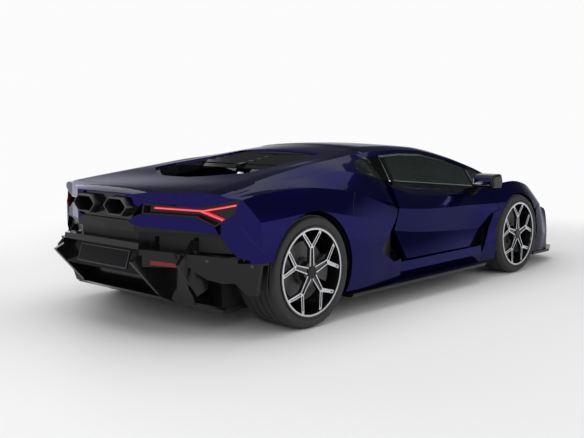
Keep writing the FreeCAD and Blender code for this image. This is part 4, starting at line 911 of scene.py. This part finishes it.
def floor_material():
    """Pale floor that keeps the car's shadow and fades to the white round it."""
    material = bpy.data.materials.new("floor_pale")
    material.use_nodes = True
    nodes, links = material.node_tree.nodes, material.node_tree.links
    shader = nodes["Principled BSDF"]
    shader.inputs["Base Color"].default_value = (0.80, 0.80, 0.80, 1)
    shader.inputs["Roughness"].default_value = 0.6
    place = nodes.new("ShaderNodeTexCoord")
    reach = nodes.new("ShaderNodeVectorMath")
    reach.operation = "LENGTH"
    links.new(place.outputs["Object"], reach.inputs[0])
    fade = nodes.new("ShaderNodeMapRange")
    fade.interpolation_type = "SMOOTHSTEP"
    fade.inputs["From Min"].default_value = FLOOR_FADE_START
    fade.inputs["From Max"].default_value = FLOOR_FADE_END
    links.new(reach.outputs["Value"], fade.inputs["Value"])
    seen = ray_mask(nodes, links, "Is Camera Ray", "Is Glossy Ray", "Is Transmission Ray")
    mask = maths(nodes, links, "MULTIPLY", seen, fade.outputs["Result"])
    white = nodes.new("ShaderNodeEmission")
    white.inputs["Color"].default_value = (0.97, 0.97, 0.98, 1)
    mixed = over(nodes, links, mask, shader.outputs["BSDF"], white.outputs["Emission"])
    links.new(mixed, nodes["Material Output"].inputs["Surface"])
    return material


def make_floor():
    """Wide flat floor under the car."""
    mesh = bpy.data.meshes.new("floor")
    bm = bmesh.new()
    bmesh.ops.create_grid(bm, x_segments=1, y_segments=1, size=60.0)
    bm.to_mesh(mesh)
    bm.free()
    floor = bpy.data.objects.new("floor", mesh)
    bpy.context.scene.collection.objects.link(floor)
    mesh.materials.append(floor_material())


def make_world():
    """Soft grey light; white for the eye and through glass; for gloss, a dark ceiling."""
    world = bpy.data.worlds.new("studio")
    bpy.context.scene.world = world
    world.use_nodes = True
    nodes, links = world.node_tree.nodes, world.node_tree.links
    ground = nodes["Background"]
    ground.inputs["Color"].default_value = (1.0, 1.0, 1.0, 1)
    ground.inputs["Strength"].default_value = 0.55
    plain = nodes.new("ShaderNodeBackground")
    plain.inputs["Color"].default_value = (0.97, 0.97, 0.98, 1)
    place = nodes.new("ShaderNodeTexCoord")
    split = nodes.new("ShaderNodeSeparateXYZ")
    links.new(place.outputs["Generated"], split.inputs["Vector"])
    height = nodes.new("ShaderNodeMapRange")
    height.inputs["From Min"].default_value = CEILING_START
    height.inputs["From Max"].default_value = CEILING_FULL
    links.new(split.outputs["Z"], height.inputs["Value"])
    room = nodes.new("ShaderNodeBackground")
    shade = blend_colour(nodes, links, height.outputs["Result"], (0.92, 0.92, 0.94),
                         (0.13, 0.13, 0.14))
    links.new(shade, room.inputs["Color"])
    seen = ray_mask(nodes, links, "Is Camera Ray", "Is Transmission Ray")
    gloss = ray_mask(nodes, links, "Is Glossy Ray")
    eye = over(nodes, links, seen, ground.outputs["Background"], plain.outputs["Background"])
    whole = over(nodes, links, gloss, eye, room.outputs["Background"])
    links.new(whole, nodes["World Output"].inputs["Surface"])


def area_lamp(name, place, aim, size, power, size_y=None):
    """Rectangular lamp that points at a place."""
    lamp = bpy.data.lights.new(name, "AREA")
    lamp.energy = power
    lamp.shape = "RECTANGLE"
    lamp.size = size
    lamp.size_y = size_y or size
    rig = bpy.data.objects.new(name, lamp)
    rig.location = place
    rig.rotation_mode = "QUATERNION"
    rig.rotation_quaternion = (Vector(aim) - Vector(place)).to_track_quat("-Z", "Y")
    bpy.context.scene.collection.objects.link(rig)


def make_lamps():
    """Large soft lamps overhead and round the car."""
    area_lamp("overhead", (0.0, 0.0, 5.0), (0, 0, 0), 5.0, 170.0, 9.0)
    area_lamp("tail_side", (-3.0, 6.5, 3.2), (0, 1.5, 0.6), 3.0, 70.0)
    area_lamp("right_side", (-6.0, -0.5, 2.6), (0, 0, 0.5), 4.0, 90.0)
    area_lamp("left_side", (6.0, 0.5, 3.0), (0, 0, 0.5), 4.0, 90.0)


def make_camera():
    """Camera as it stood for the photograph."""
    lens = bpy.data.cameras.new("camera")
    lens.lens = LENS_MM
    lens.sensor_width = SENSOR_MM
    lens.clip_end = 200.0
    camera = bpy.data.objects.new("camera", lens)
    camera.location = CAMERA_PLACE
    forward = Vector((math.cos(CAMERA_YAW) * math.cos(CAMERA_PITCH),
                      math.sin(CAMERA_YAW) * math.cos(CAMERA_PITCH), math.sin(CAMERA_PITCH)))
    camera.rotation_mode = "QUATERNION"
    camera.rotation_quaternion = forward.to_track_quat("-Z", "Y")
    bpy.context.scene.collection.objects.link(camera)
    bpy.context.scene.camera = camera


dress_cad_nodes()
make_wheels()
make_shut_lines()
make_lamp_cores()
make_day_lights()
make_sensors()
make_louvre_lips()
make_plate_frame()
make_mirror_glasses()
make_floor()
make_world()
make_lamps()
make_camera()
bpy.context.scene.view_settings.view_transform = "Standard"
